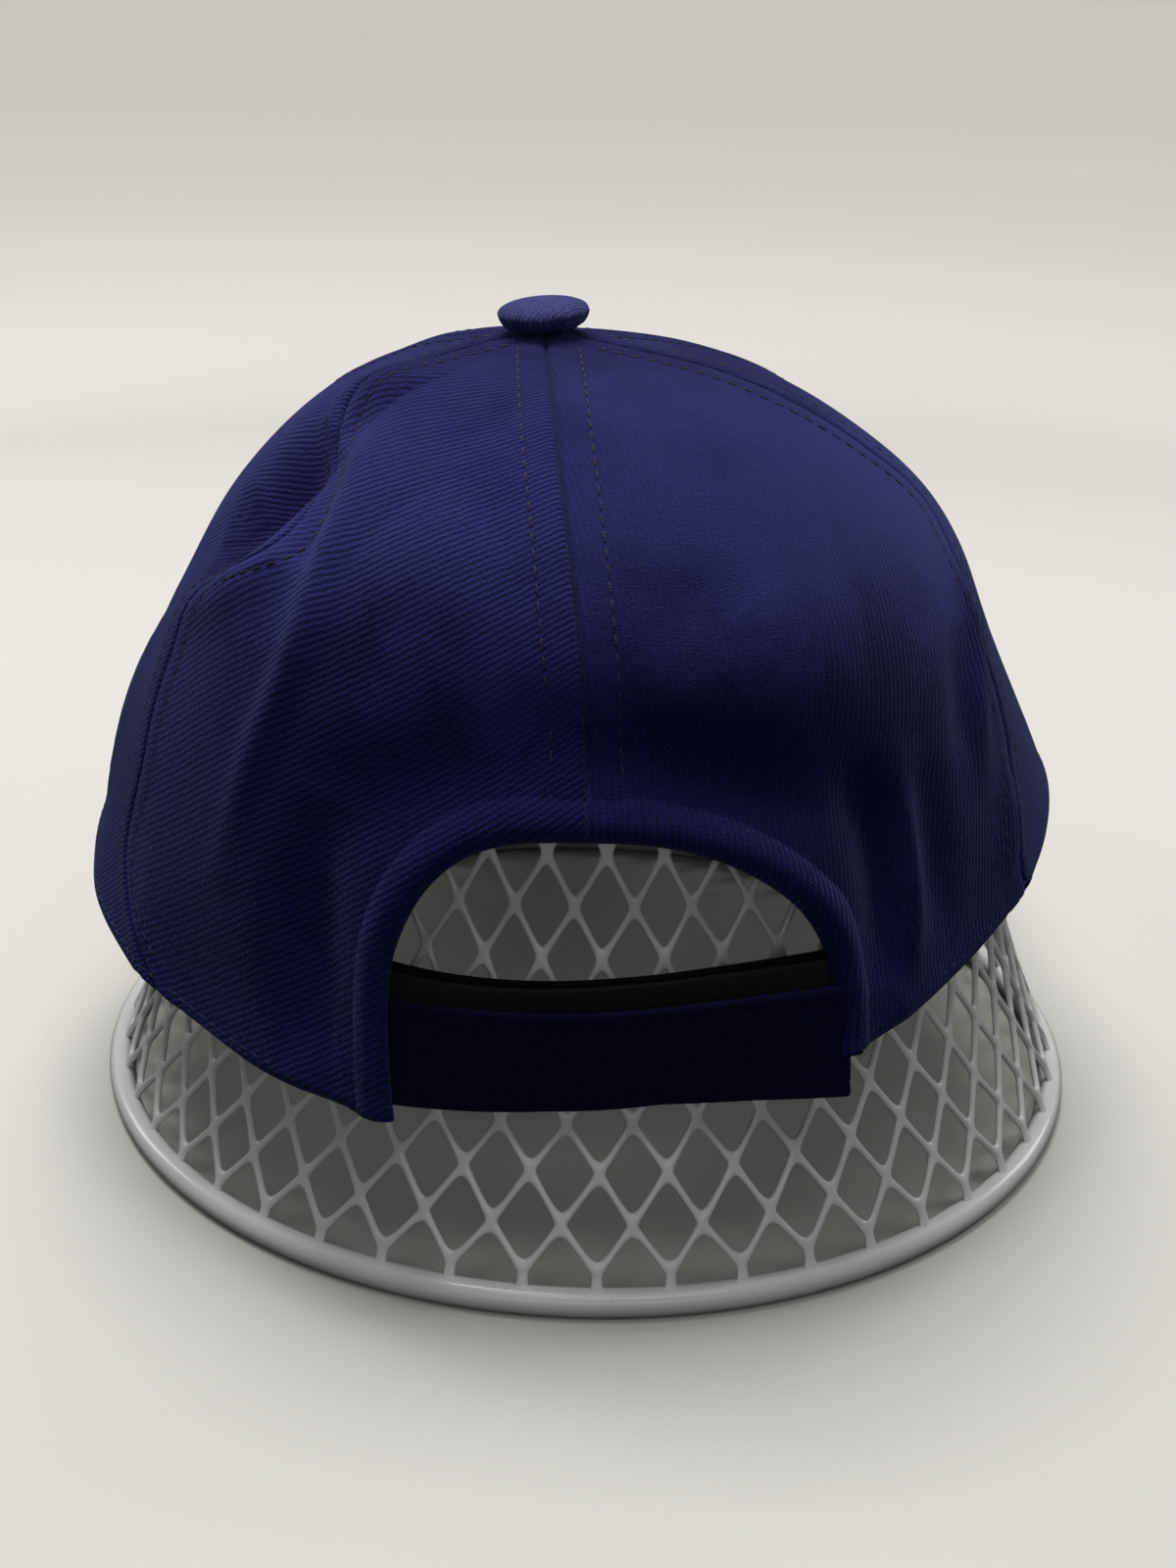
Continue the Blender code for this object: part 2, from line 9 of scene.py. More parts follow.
import bpy
import numpy as np
from mathutils import Euler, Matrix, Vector


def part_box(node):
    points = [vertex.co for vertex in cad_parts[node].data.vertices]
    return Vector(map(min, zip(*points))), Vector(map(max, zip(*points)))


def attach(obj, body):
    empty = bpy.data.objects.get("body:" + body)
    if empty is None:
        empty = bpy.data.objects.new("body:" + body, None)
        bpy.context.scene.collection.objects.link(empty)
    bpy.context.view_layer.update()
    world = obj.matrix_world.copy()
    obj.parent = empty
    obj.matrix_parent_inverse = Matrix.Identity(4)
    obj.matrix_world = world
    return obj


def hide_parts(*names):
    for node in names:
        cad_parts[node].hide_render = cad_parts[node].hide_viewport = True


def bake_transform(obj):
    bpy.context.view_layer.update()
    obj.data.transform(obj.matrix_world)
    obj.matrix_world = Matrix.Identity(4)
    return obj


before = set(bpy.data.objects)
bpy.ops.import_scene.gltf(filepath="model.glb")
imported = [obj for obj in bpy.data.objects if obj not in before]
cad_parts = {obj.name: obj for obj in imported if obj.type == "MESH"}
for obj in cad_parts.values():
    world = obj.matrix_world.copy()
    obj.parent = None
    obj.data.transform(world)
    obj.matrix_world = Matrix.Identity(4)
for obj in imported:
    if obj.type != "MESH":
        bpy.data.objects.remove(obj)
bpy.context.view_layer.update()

MM = 0.001
RIM_LOW, RIM_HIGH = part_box("basket_rim")
STAND_CENTRE = Vector(((RIM_LOW.x + RIM_HIGH.x) / 2, (RIM_LOW.y + RIM_HIGH.y) / 2, 0.0))
RIM_OUTER_RADIUS = (RIM_HIGH.x - RIM_LOW.x) / 2 / MM
RIM_HEIGHT = RIM_HIGH.z / MM

# Crown: an oval hem that leans back and to one side, closing up to a pole under the button.
CROWN_CENTRE = (-4.5, -0.8)
CROWN_HALF_WIDTH = 91.5
CROWN_HALF_LENGTH = 96.3
POLE = (-11.2, -9.8, 144.8)
HEIGHT_SHARES = (0, 0.18, 0.38, 0.56, 0.71, 0.84, 0.925, 0.975, 1.0)
LEFT_SHARES = (1, 0.92, 0.835, 0.73, 0.615, 0.475, 0.3, 0.14, 0)
RIGHT_SHARES = (1, 0.94, 0.87, 0.805, 0.705, 0.55, 0.38, 0.2, 0)
FRONT_SHARES = (1, 0.98, 0.935, 0.875, 0.78, 0.62, 0.40, 0.18, 0)
CROWN_TOP = 0.985  # profile share where the panels stop, under the button
HEM_HEIGHT = 49.4
HEM_RISE_RIGHT = 6.9  # over the left, as half the difference
HEM_DROP_BACK = 8.9
HEM_RISE_SIDES = 5.0
HEM_RISE_FRONT = 6.0
POLE_FADE = 0.12  # profile share under the pole over which folds and seams fade out
MOUND_FOOT = 0.945  # profile share where the mound under the button starts
MOUND_SLOPE = 0.035
MOUND_HEIGHT = 1.3
HALVINGS = 26  # to find a profile share by its height
PANEL_THICKNESS = 1.2
PANELS = {
    "back_left": (-70, 5),
    "back_right": (5, 75),
    "side_right": (75, 127),
    "front_right": (127, 181),
    "front_left": (181, 235),
    "side_left": (235, 290),
}
CENTRE_SEAM = 5  # degrees round from the back
# Degrees that a seam wanders from its panel's edge, at equally spaced shares of the profile.
SEAM_WANDER = {
    -70: (20, 6, 5, 3, 4, 20, 16, 3, 0, 0, 0),
    75: (-12, -10, -4, -1, 2, 8, 6, 3, 1, 0, 0),
    5: (0, 0, 0, 0.3, 0.5, 0.3, 0, -0.3, -0.3, 0, 0),
    127: (3, 1, -1, -2, 0, 1, 1, 0, 0, 0, 0),
    181: (0, 0, 1, 1, 0, -1, -1, 0, 0, 0, 0),
    235: (-3, -1, 1, 2, 1, 0, -1, 0, 0, 0, 0),
}

# Opening over the strap: an arch centred on the back seam, squarer on its left.
ARCH_LEFT_SPAN = 23.6
ARCH_RIGHT_SPAN = 28.2
ARCH_LEFT_SQUARENESS = 3.1
ARCH_RIGHT_SQUARENESS = 2.45
ARCH_TOP = 80.0
LEFT_TUCK = 2.2  # degrees, at the hem
RIGHT_TUCK = 3.4
TUCK_RISE = 26.0
DEGREES_PER_MM = 0.6  # round the crown at the opening
COLLAR_WIDTH = 7.0

WALE_PITCH = 1.06  # of the twill's ridges
WALE_ANGLE = 43  # degrees that the ridges lean from a panel's centre line
BIAS_TURN = {"back_left": -12, "back_right": 26, "side_right": 34}  # degrees that a panel's cloth is turned
FLOAT_LENGTH = 0.62  # of the twill's pitch
FLOAT_SLANT = 0.8


# Meshes.


def to_frame(points):
    return np.asarray(points, float) * MM + np.array(STAND_CENTRE)


def mesh_piece(name, points, faces, material, body, uv=None):
    """A piece from points in millimetres. uv gives each point's place on its flat cloth, in millimetres."""
    mesh = bpy.data.meshes.new(name)
    mesh.from_pydata(to_frame(points).tolist(), [], faces)
    if uv is not None:
        layer = mesh.uv_layers.new(name="Cloth")
        corners = np.empty(len(mesh.loops), np.int64)
        mesh.loops.foreach_get("vertex_index", corners)
        layer.data.foreach_set("uv", (np.asarray(uv, float)[corners] * MM).astype(np.float32).ravel())
    mesh.shade_smooth()
    mesh.validate()
    obj = bpy.data.objects.new(name, mesh)
    bpy.context.scene.collection.objects.link(obj)
    obj.data.materials.append(material)
    if body:
        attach(obj, body)
    return obj


def grid_faces(rows, columns, ring=False, keep=None, start=0):
    """Faces of a grid of points given row by row. ring joins the last column to the first."""
    faces = []
    for r in range(rows - 1):
        for c in range(columns if ring else columns - 1):
            if keep is not None and not keep[r][c]:
                continue
            d = (c + 1) % columns
            low, high = start + r * columns, start + (r + 1) * columns
            faces.append((low + c, low + d, high + d, high + c))
    return faces


def grid_piece(name, grid, material, body, uv=None, ring=False, keep=None):
    rows, columns = grid.shape[:2]
    faces = grid_faces(rows, columns, ring, keep)
    flat_uv = None if uv is None else uv.reshape(-1, 2)
    return mesh_piece(name, grid.reshape(-1, 3), faces, material, body, flat_uv)


def thicken(obj, thickness, offset=-1.0):
    solid = obj.modifiers.new("Sheet", "SOLIDIFY")
    solid.thickness = thickness * MM
    solid.offset = offset


def smoothed(obj, levels):
    surface = obj.modifiers.new("Smooth", "SUBSURF")
    surface.levels = levels
    surface.render_levels = levels


def lengths(vectors):
    return np.linalg.norm(vectors, axis=-1)


def travel_along(points):
    """Distance from the first point of a line of points to each of them."""
    return np.concatenate([[0], lengths(np.diff(points, axis=0)).cumsum()])


EDGE_STEPS = np.array((0.0, 0.12, 0.3, 0.6))


def rounded_spacing(low, high, count, margin):
    """Evenly spaced values, with extra ones close to both ends for a rounded edge."""
    inner = np.linspace(low + margin, high - margin, count)
    return np.concatenate([low + margin * EDGE_STEPS, inner, high - margin * EDGE_STEPS[::-1]])


# The crown's surface.


def through(values, share):
    """A smooth curve through equally spaced values (Catmull-Rom), read at shares from 0 to 1."""
    values = np.asarray(values, float)
    spans = len(values) - 1
    place = np.clip(np.asarray(share, float), 0.0, 1.0) * spans
    k = np.minimum(place.astype(int), spans - 1)
    u = place - k
    ends = np.concatenate([[2 * values[0] - values[1]], values, [2 * values[-1] - values[-2]]])
    before, here, there, after = ends[k], ends[k + 1], ends[k + 2], ends[k + 3]
    bend = 2 * before - 5 * here + 4 * there - after
    twist = 3 * here - before - 3 * there + after
    return 0.5 * (2 * here + (there - before) * u + bend * u * u + twist * u**3)


def hem_height(azimuth):
    front = np.clip(-np.cos(azimuth), 0.0, None) ** 4
    lean = HEM_RISE_RIGHT * np.sin(azimuth) - HEM_DROP_BACK * np.cos(azimuth)
    return HEM_HEIGHT + lean - HEM_RISE_SIDES * np.cos(2 * azimuth) + HEM_RISE_FRONT * front


def crown_base(azimuth, share):
    """The crown without its folds, at azimuths in radians from the back towards +X."""
    azimuth, share = np.broadcast_arrays(np.asarray(azimuth, float), np.asarray(share, float))
    rise = through(HEIGHT_SHARES, share)
    rightness = 0.5 + 0.5 * np.sin(azimuth)
    frontness = np.clip(-np.cos(azimuth), 0.0, None) ** 2
    side = through(LEFT_SHARES, share) * (1 - rightness) + through(RIGHT_SHARES, share) * rightness
    reach = side * (1 - frontness) + through(FRONT_SHARES, share) * frontness
    base = hem_height(azimuth)
    x = CROWN_CENTRE[0] + (POLE[0] - CROWN_CENTRE[0]) * rise + CROWN_HALF_WIDTH * np.sin(azimuth) * reach
    y = CROWN_CENTRE[1] + (POLE[1] - CROWN_CENTRE[1]) * rise - CROWN_HALF_LENGTH * np.cos(azimuth) * reach
    return np.stack([x, y, base + (POLE[2] - base) * rise], -1)


def crown_normal(azimuth, share):
    step = 0.008
    share = np.clip(share, step, 1 - step)
    across = crown_base(azimuth + step, share) - crown_base(azimuth - step, share)
    up = crown_base(azimuth, share + step) - crown_base(azimuth, share - step)
    normal = np.cross(across, up)
    return normal / np.linalg.norm(normal, axis=-1, keepdims=True)


# Folds of the draped crown. Each has a path of (degrees from the back, profile share) and, in
# millimetres, a height (below zero for a hollow) and a half width.
FOLDS = (
    # The dent beside the left rear seam, with a swelling over it and a ledge under it.
    (((-59, 0.66), (-62, 0.60), (-64, 0.55), (-67, 0.49), (-77, 0.43)), -9.5, 6.2),
    (((-48, 0.72), (-62, 0.725), (-78, 0.68)), 3.0, 6.0),
    (((-43, 0.52), (-49, 0.475), (-60, 0.415), (-72, 0.36)), 2.6, 4.2),
    (((-55, 0.65), (-48, 0.60), (-43.5, 0.54), (-44, 0.48)), -2.4, 3.0),
    # The narrow ridge that runs down from it, and the swelling behind.
    (((-45, 0.62), (-38.5, 0.545), (-36.5, 0.46), (-37, 0.38), (-40, 0.28), (-42, 0.18)), 2.1, 2.6),
    (((-28, 0.575), (-17, 0.545), (-6, 0.575)), 1.6, 8.0),
    # The hollow that the collar of the opening pulls into the crown.
    (((-28, 0.27), (-19, 0.30), (-8, 0.34), (3, 0.35)), -3.2, 6.0),
    (((3, 0.35), (13, 0.335), (25, 0.30), (36, 0.235)), -4.0, 5.0),
    (((-7, 0.38), (3, 0.375), (14, 0.36)), -1.6, 4.5),
    (((-27, 0.29), (-28, 0.20), (-27, 0.12), (-25, 0.02)), -4.6, 5.0),
    (((37, 0.30), (40.5, 0.21), (39, 0.12), (36, 0.04)), -4.0, 4.0),
    # The hem turns in beside the straps.
    (((-56, 0.0), (-42, 0.03), (-26, 0.03)), -2.8, 11.0),
    (((38, 0.02), (50, 0.03), (64, 0.0)), -2.2, 9.0),
    # Narrow creases, hollows and swellings on the right.
    (((46, 0.23), (43.8, 0.135), (41.5, 0.05)), 2.0, 1.9),
    (((50, 0.26), (48.5, 0.15), (47, 0.05)), -2.2, 3.6),
    (((74, 0.40), (71, 0.315), (64, 0.238), (60.5, 0.17)), 1.7, 2.2),
    (((66, 0.36), (61, 0.27), (57, 0.2)), -1.4, 3.4),
    (((66, 0.16), (64, 0.1), (58, 0.04)), 1.4, 3.0),
    (((17, 0.51), (24, 0.487), (31, 0.465)), -1.5, 5.5),
    (((22, 0.43), (34, 0.42), (46, 0.38)), 1.4, 8.0),
    # Soft folds of the sides and front.
    (((96, 0.30), (98, 0.18), (97, 0.08)), -1.8, 7.0),
    (((110, 0.34), (112, 0.22), (110, 0.10)), 1.3, 6.0),
    (((-104, 0.32), (-101, 0.20), (-98, 0.08)), -1.8, 7.0),
    (((-88, 0.30), (-85, 0.18), (-82, 0.06)), 1.6, 5.0),
    (((-120, 0.40), (-116, 0.26), (-114, 0.12)), 1.1, 6.0),
    (((150, 0.62), (163, 0.66), (176, 0.66)), -1.4, 9.0),
    (((186, 0.66), (200, 0.67), (214, 0.62)), -1.1, 9.0),
)
FOLD_SAMPLES = 40


def fold_depth(points, path, height, width):
    """How far a fold lifts the crown at each point. It fades out towards both ends of its path."""
    share = np.linspace(0, 1, FOLD_SAMPLES)
    degrees, shares = np.asarray(path, float).T
    spine = crown_base(np.radians(through(degrees, share)), through(shares, share))
    strength = np.sin(np.pi * np.clip(share, 0.04, 0.96)) ** 0.7
    distance = ((points[:, None, :] - spine[None]) ** 2).sum(-1)
    nearest = distance.argmin(1)
    spread = 2 * width**2
    return height * strength[nearest] * np.exp(-distance[np.arange(len(points)), nearest] / spread)


def unevenness(points):
    """The slight waviness of soft cloth."""
    x, y, z = points.T
    return (
        0.22 * np.sin(x / 9.5 + 1.3 * np.sin(z / 13))
        + 0.20 * np.sin(z / 8.3 + y / 12 + 0.8)
        + 0.16 * np.sin((x - y) / 6.1 + z / 10)
    )


def pole_fade(share):
    return np.clip((1 - np.asarray(share, float)) / POLE_FADE, 0, 1)


def crown_relief(azimuth, share):
    points = crown_base(azimuth, share)
    flat = points.reshape(-1, 3)
    relief = unevenness(flat)
    for fold in FOLDS:
        relief = relief + fold_depth(flat, *fold)
    # The seams' allowances pile up into a low mound under the button.
    mound = np.clip((np.asarray(share, float) - MOUND_FOOT) / MOUND_SLOPE, 0, 1)
    return relief.reshape(points.shape[:-1]) * pole_fade(share) + MOUND_HEIGHT * mound**2 * (3 - 2 * mound)


def crown_point(azimuth, share, lift=0.0):
    """A point of the draped crown, lifted off its outer face (below zero for inside)."""
    azimuth, share = np.broadcast_arrays(np.asarray(azimuth, float), np.asarray(share, float))
    height = crown_relief(azimuth, share) + lift
    return crown_base(azimuth, share) + crown_normal(azimuth, share) * height[..., None]


def seam_azimuth(seam, share):
    """Where a seam runs at each share, in radians. seam is its name: its panel edge in degrees."""
    turn = 360 if seam > 180 and seam - 360 in SEAM_WANDER else 0
    return np.radians(seam + through(SEAM_WANDER[seam - turn], share))


def share_at_height(azimuth, height):
    """The profile share at which the crown is a height above the floor, found by halving."""
    low, high = np.zeros_like(azimuth), np.ones_like(azimuth)
    for _ in range(HALVINGS):
        middle = 0.5 * (low + high)
        below = crown_base(azimuth, middle)[..., 2] < height
        low = np.where(below, middle, low)
        high = np.where(below, high, middle)
    return low


def turn_for(azimuth, share, distance):
    """The change of azimuth that covers a distance along the crown."""
    step = 0.01
    gap = crown_base(azimuth + step, share) - crown_base(azimuth, share)
    return distance * step / lengths(gap)


PATTERN_CELLS = 60  # each way
PATTERN_MARGIN = 24  # degrees beyond each seam, as seams wander


class FlatPattern:
    """A panel's cloth laid flat: distance from its centre line, and distance up it from the hem."""

    def __init__(self, first, last, turn):
        middle = PATTERN_CELLS // 2
        self.knots = np.arange(PATTERN_CELLS + 1.0)
        first, last = first - PATTERN_MARGIN, last + PATTERN_MARGIN
        self.azimuths = np.radians(np.linspace(first, last, len(self.knots)))
        self.shares = np.linspace(0, 1, len(self.knots))
        points = crown_base(*np.meshgrid(self.azimuths, self.shares))
        steps = lengths(np.diff(points, axis=1))
        across = np.concatenate([np.zeros((len(self.shares), 1)), steps.cumsum(1)], 1)
        self.across = across - across[:, middle : middle + 1]
        self.along = travel_along(points[:, middle])
        self.turn = math.radians(turn)

    def place(self, azimuth, share):
        x = np.interp(azimuth, self.azimuths, self.knots)
        y = np.interp(share, self.shares, self.knots)
        i, j = (np.minimum(value.astype(int), PATTERN_CELLS - 1) for value in (x, y))
        u, v = x - i, y - j
        low = self.across[j, i] * (1 - u) + self.across[j, i + 1] * u
        high = self.across[j + 1, i] * (1 - u) + self.across[j + 1, i + 1] * u
        across = low * (1 - v) + high * v
        along = np.interp(share, self.shares, self.along)
        cos, sin = math.cos(self.turn), math.sin(self.turn)
        return np.stack([across * cos + along * sin, along * cos - across * sin], -1)


PATTERNS = {name: FlatPattern(*span, BIAS_TURN.get(name, 0)) for name, span in PANELS.items()}


# Materials.


class Nodes:
    """Builds a material's nodes. Each maker returns the new node's main output."""

    def __init__(self, name):
        self.material = bpy.data.materials.new(name)
        self.material.use_nodes = True
        self.tree = self.material.node_tree
        self.shader = self.tree.nodes["Principled BSDF"]

    def feed(self, socket, value):
        """Link an output to a socket, or set the socket to a number or a colour."""
        if isinstance(value, bpy.types.NodeSocket):
            self.tree.links.new(value, socket)
        elif socket.type == "RGBA" and len(value) == 3:
            socket.default_value = (*value, 1.0)
        else:
            socket.default_value = value

    def new(self, kind, inputs=(), **settings):
        node = self.tree.nodes.new(kind)
        for key, value in settings.items():
            setattr(node, key, value)
        for key, value in dict(inputs).items():
            self.feed(node.inputs[key], value)
        return node

    def math(self, operation, a, b=0.0, c=0.0):
        return self.new("ShaderNodeMath", {0: a, 1: b, 2: c}, operation=operation).outputs[0]

    def add(self, a, b):
        return self.math("ADD", a, b)

    def times(self, a, b):
        return self.math("MULTIPLY", a, b)

    def scaled(self, value, factor, offset):
        return self.math("MULTIPLY_ADD", value, factor, offset)

    def wave(self, turns):
        """From one half up to 1, down to 0 and back, once in each turn."""
        return self.scaled(self.math("SINE", self.times(turns, 2 * math.pi)), 0.5, 0.5)

    def mix(self, share, low, high):
        return self.new("ShaderNodeMix", {0: share, 6: low, 7: high}, data_type="RGBA").outputs[2]

    def noise(self, scale, detail=2.0, roughness=0.5, vector=None):
        vector = self.position() if vector is None else vector
        inputs = {"Vector": vector, "Scale": scale, "Detail": detail, "Roughness": roughness}
        return self.new("ShaderNodeTexNoise", inputs).outputs["Fac"]

    def cells(self, scale):
        """Distance from the nearest of many scattered points."""
        inputs = {"Vector": self.position(), "Scale": scale}
        return self.new("ShaderNodeTexVoronoi", inputs).outputs["Distance"]

    def ramp(self, value, low, high):
        inputs = {"Value": value, "From Min": low, "From Max": high}
        return self.new("ShaderNodeMapRange", inputs, clamp=True).outputs["Result"]

    def position(self):
        return self.new("ShaderNodeTexCoord").outputs["Object"]

    def cloth(self):
        return self.new("ShaderNodeUVMap", uv_map="Cloth").outputs["UV"]

    def axes(self, vector):
        return self.new("ShaderNodeSeparateXYZ", {0: vector}).outputs

    def bump(self, height, distance, strength=1.0):
        inputs = {"Height": height, "Distance": distance * MM, "Strength": strength}
        return self.new("ShaderNodeBump", inputs).outputs["Normal"]

    def set(self, color, roughness, normal=None, **others):
        """Feed the shader. others are sockets by name, with _ for each space."""
        self.feed(self.shader.inputs["Base Color"], color)
        self.feed(self.shader.inputs["Roughness"], roughness)
        if normal is not None:
            self.feed(self.shader.inputs["Normal"], normal)
        for key, value in others.items():
            self.shader.inputs[key.replace("_", " ")].default_value = value

    def sheen(self, weight, roughness, tint):
        self.shader.inputs["Sheen Weight"].default_value = weight
        self.shader.inputs["Sheen Roughness"].default_value = roughness
        self.shader.inputs["Sheen Tint"].default_value = (*tint, 1.0)


# Painted light: the paler, greyer navy of the band part way up the crown where the light falls most.
PAINTED_LIGHT_NAVY = (0.030, 0.036, 0.145)
PAINTED_LIGHT_FROM_BELOW = (0.098, 0.118)  # metres up, from none to all
PAINTED_LIGHT_FROM_ABOVE = (0.144, 0.128)


def twill_material(name, dark, light, pitch=WALE_PITCH, relief=0.32, wales=0.75):
    """Diagonal ridges of yarn, each ridge made of short slanted floats, under a soft nap."""
    n = Nodes(name)
    lean = math.radians(WALE_ANGLE)
    u, v, _ = n.axes(n.cloth())
    crosswise = n.math("SUBTRACT", n.times(u, math.cos(lean)), n.times(v, math.sin(lean)))
    lengthwise = n.add(n.times(u, math.sin(lean)), n.times(v, math.cos(lean)))
    ridge_count = n.math("DIVIDE", crosswise, pitch * MM)
    for scale, wander in ((160.0, 0.55), (620.0, 0.35)):
        ridge_count = n.add(ridge_count, n.times(n.noise(scale, vector=n.cloth()), wander))
    ridge = n.math("POWER", n.wave(ridge_count), 0.75)
    float_count = n.math("DIVIDE", lengthwise, FLOAT_LENGTH * pitch * MM)
    floats = n.wave(n.add(float_count, n.times(ridge_count, FLOAT_SLANT)))
    fuzz = n.noise(2000.0, 3.0, 0.75)
    blotch = n.noise(38.0, 3.0, 0.6)
    weave = n.times(ridge, n.scaled(floats, 0.45, 0.55))
    height = n.add(n.times(weave, wales), n.times(fuzz, 1.2))
    # Worn patches of nap hide the ridges here and there.
    shown = n.scaled(n.noise(55.0), 0.9, 0.15)
    # The ridges are coloured lighter than the hollows between them: partly the worn nap on the ridges,
    # partly painted shade in the hollows.
    tone = n.times(weave, n.times(shown, 0.72 * wales))
    tone = n.add(tone, n.times(n.ramp(fuzz, 0.3, 0.7), 0.50))
    tone = n.add(tone, n.scaled(blotch, 0.5, -0.25))
    # Painted light: the crown is coloured palest and greyest part way up, where the light falls most on it,
    # and darker above and below.
    level = n.axes(n.position())[2]
    level = n.scaled(n.math("SUBTRACT", blotch, 0.5), 0.05, level)
    painted_light_band = n.times(n.ramp(level, *PAINTED_LIGHT_FROM_BELOW), n.ramp(level, *PAINTED_LIGHT_FROM_ABOVE))
    tone = n.add(tone, n.scaled(painted_light_band, 0.38, -0.10))
    cloth = n.mix(n.ramp(tone, 0.15, 0.95), dark, light)
    n.set(
        color=n.mix(n.times(painted_light_band, 0.45), cloth, PAINTED_LIGHT_NAVY),
        roughness=0.92,
        normal=n.bump(height, relief),
        Specular_IOR_Level=0.18,
    )
    n.sheen(0.22, 0.20, (0.36, 0.45, 1.0))
    return n.material


def enamel_material():
    """White stove enamel, with the faint ripple and specks of a thick dipped coat."""
    n = Nodes("white_gloss_enamel")
    ripple = n.noise(240.0)
    pool = n.noise(42.0, 3.0, 0.6)
    white = n.mix(n.ramp(pool, 0.35, 0.7), (0.86, 0.86, 0.85), (0.93, 0.93, 0.92))
    n.set(
        color=n.mix(n.ramp(n.cells(420.0), 0.10, 0.0), white, (0.65, 0.63, 0.60)),
        roughness=n.ramp(pool, -1.2, 3.2),
        normal=n.bump(ripple, 0.12, 0.6),
        Coat_Weight=0.6,
        Coat_Roughness=0.08,
    )
    return n.material


def thread_material(name, colour):
    n = Nodes(name)
    inputs = {"Vector": n.position(), "Scale": 900.0, "Distortion": 2.0}
    ply = n.new("ShaderNodeTexWave", inputs, bands_direction="DIAGONAL").outputs["Fac"]
    lit = tuple(c * 1.7 for c in colour)
    n.set(color=n.mix(ply, colour, lit), roughness=0.7, normal=n.bump(ply, 0.05))
    n.sheen(0.06, 0.4, (0.4, 0.45, 0.9))
    return n.material


def woven_material(name, dark, light, pitch, relief=0.12, sheen=0.02):
    """A plain weave: threads over and under at right angles."""
    n = Nodes(name)
    along, across, _ = n.axes(n.cloth())
    turn = 2 * math.pi / (pitch * MM)
    warp = n.math("SINE", n.times(along, turn))
    weft = n.math("SINE", n.times(across, turn))
    weave = n.scaled(n.times(warp, weft), 0.5, 0.5)
    fuzz = n.noise(2400.0, 3.0, 0.7)
    blotch = n.noise(60.0, 3.0, 0.6)
    tone = n.add(n.times(weave, 0.4), n.times(fuzz, 0.4))
    tone = n.add(tone, n.times(blotch, 0.2))
    n.set(
        color=n.mix(n.ramp(tone, 0.2, 0.85), dark, light),
        roughness=0.9,
        normal=n.bump(n.add(weave, n.times(fuzz, 0.8)), relief),
        Specular_IOR_Level=0.15,
    )
    n.sheen(sheen, 0.5, (0.4, 0.45, 0.9))
    return n.material


def pile_material(name, dark, light, scale, relief, roughness):
    """Hook or loop tape: a dense field of small nylon tufts."""
    n = Nodes(name)
    tangle = n.noise(scale * 2, 4.0, 0.7)
    height = n.add(n.times(n.cells(scale), -1.0), tangle)
    n.set(
        color=n.mix(n.ramp(height, -0.5, 0.6), dark, light),
        roughness=roughness,
        normal=n.bump(height, relief),
    )
    n.sheen(0.02, 0.5, (0.5, 0.5, 0.8))
    return n.material


def board_material():
    """Moulded polyethylene sheet with a faint grain."""
    n = Nodes("visor_board_plastic")
    grain = n.noise(900.0, 3.0, 0.6)
    n.set(
        color=n.mix(grain, (0.012, 0.013, 0.035), (0.020, 0.021, 0.050)),
        roughness=n.ramp(grain, -1.0, 2.0),
        normal=n.bump(grain, 0.03),
    )
    return n.material


def metal_material():
    """Plain pressed aluminium, brushed and a little dull."""
    n = Nodes("rivet_aluminium")
    stretched = n.new("ShaderNodeMapping", {0: n.position(), 3: (1, 1, 14)}).outputs[0]
    streaks = n.noise(700.0, 3.0, 0.6, stretched)
    n.set(
        color=n.mix(streaks, (0.52, 0.52, 0.54), (0.68, 0.68, 0.70)),
        roughness=n.ramp(streaks, -0.6, 2.0),
        normal=n.bump(streaks, 0.02),
        Metallic=1.0,
    )
    return n.material


NAVY = ((0.0033, 0.0037, 0.045), (0.0165, 0.0182, 0.170))
# Painted light: the button's cloth is coloured far paler than the crown's, for the light on its top.
BUTTON_PAINTED_LIGHT_NAVY = ((0.028, 0.029, 0.13), (0.15, 0.155, 0.48))
BAND_NAVY = ((0.008, 0.009, 0.05), (0.03, 0.032, 0.15))
# The stiffeners are coloured a dark blue-grey, darker than their own grey: partly the stiffener's grey,
# partly painted shade inside the crown.
BUCKRAM_SHADED_GREY = ((0.016, 0.018, 0.028), (0.042, 0.046, 0.066))
TWILL = twill_material("navy_twill", *NAVY)
# The right panels' ridges are fainter, with less painted shade in their hollows and lower bumps, as the
# light from above hardly picks out their near-upright ridges.
FAINT_RIDGE_TWILL = twill_material("faint_ridge_twill", *NAVY, wales=0.45)
BUTTON_PAINTED_LIGHT_TWILL = twill_material("button_painted_light_twill", *BUTTON_PAINTED_LIGHT_NAVY, pitch=0.9, wales=0.45)
BAND_TWILL = twill_material("sweatband_twill", *BAND_NAVY, pitch=0.9, relief=0.18)
STRAP_CLOTH = woven_material("strap_cloth", (0.0007, 0.0009, 0.016), (0.0030, 0.0036, 0.045), 0.62)
LOOP_CLOTH = woven_material("loop_strap_cloth", (0.0006, 0.0006, 0.002), (0.0016, 0.0016, 0.006), 0.62)
TAPE_CLOTH = woven_material("seam_tape_cloth", (0.010, 0.011, 0.06), (0.03, 0.034, 0.15), 0.8)
BUCKRAM = woven_material("buckram_weave", *BUCKRAM_SHADED_GREY, 1.1, relief=0.25, sheen=0.0)
HOOK_NAVY = ((0.003, 0.003, 0.012), (0.02, 0.02, 0.05))
LOOP_BLACK = ((0.0006, 0.0006, 0.002), (0.002, 0.002, 0.006))
HOOK_TAPE = pile_material("hook_tape_nylon", *HOOK_NAVY, 1500.0, 0.3, 0.5)
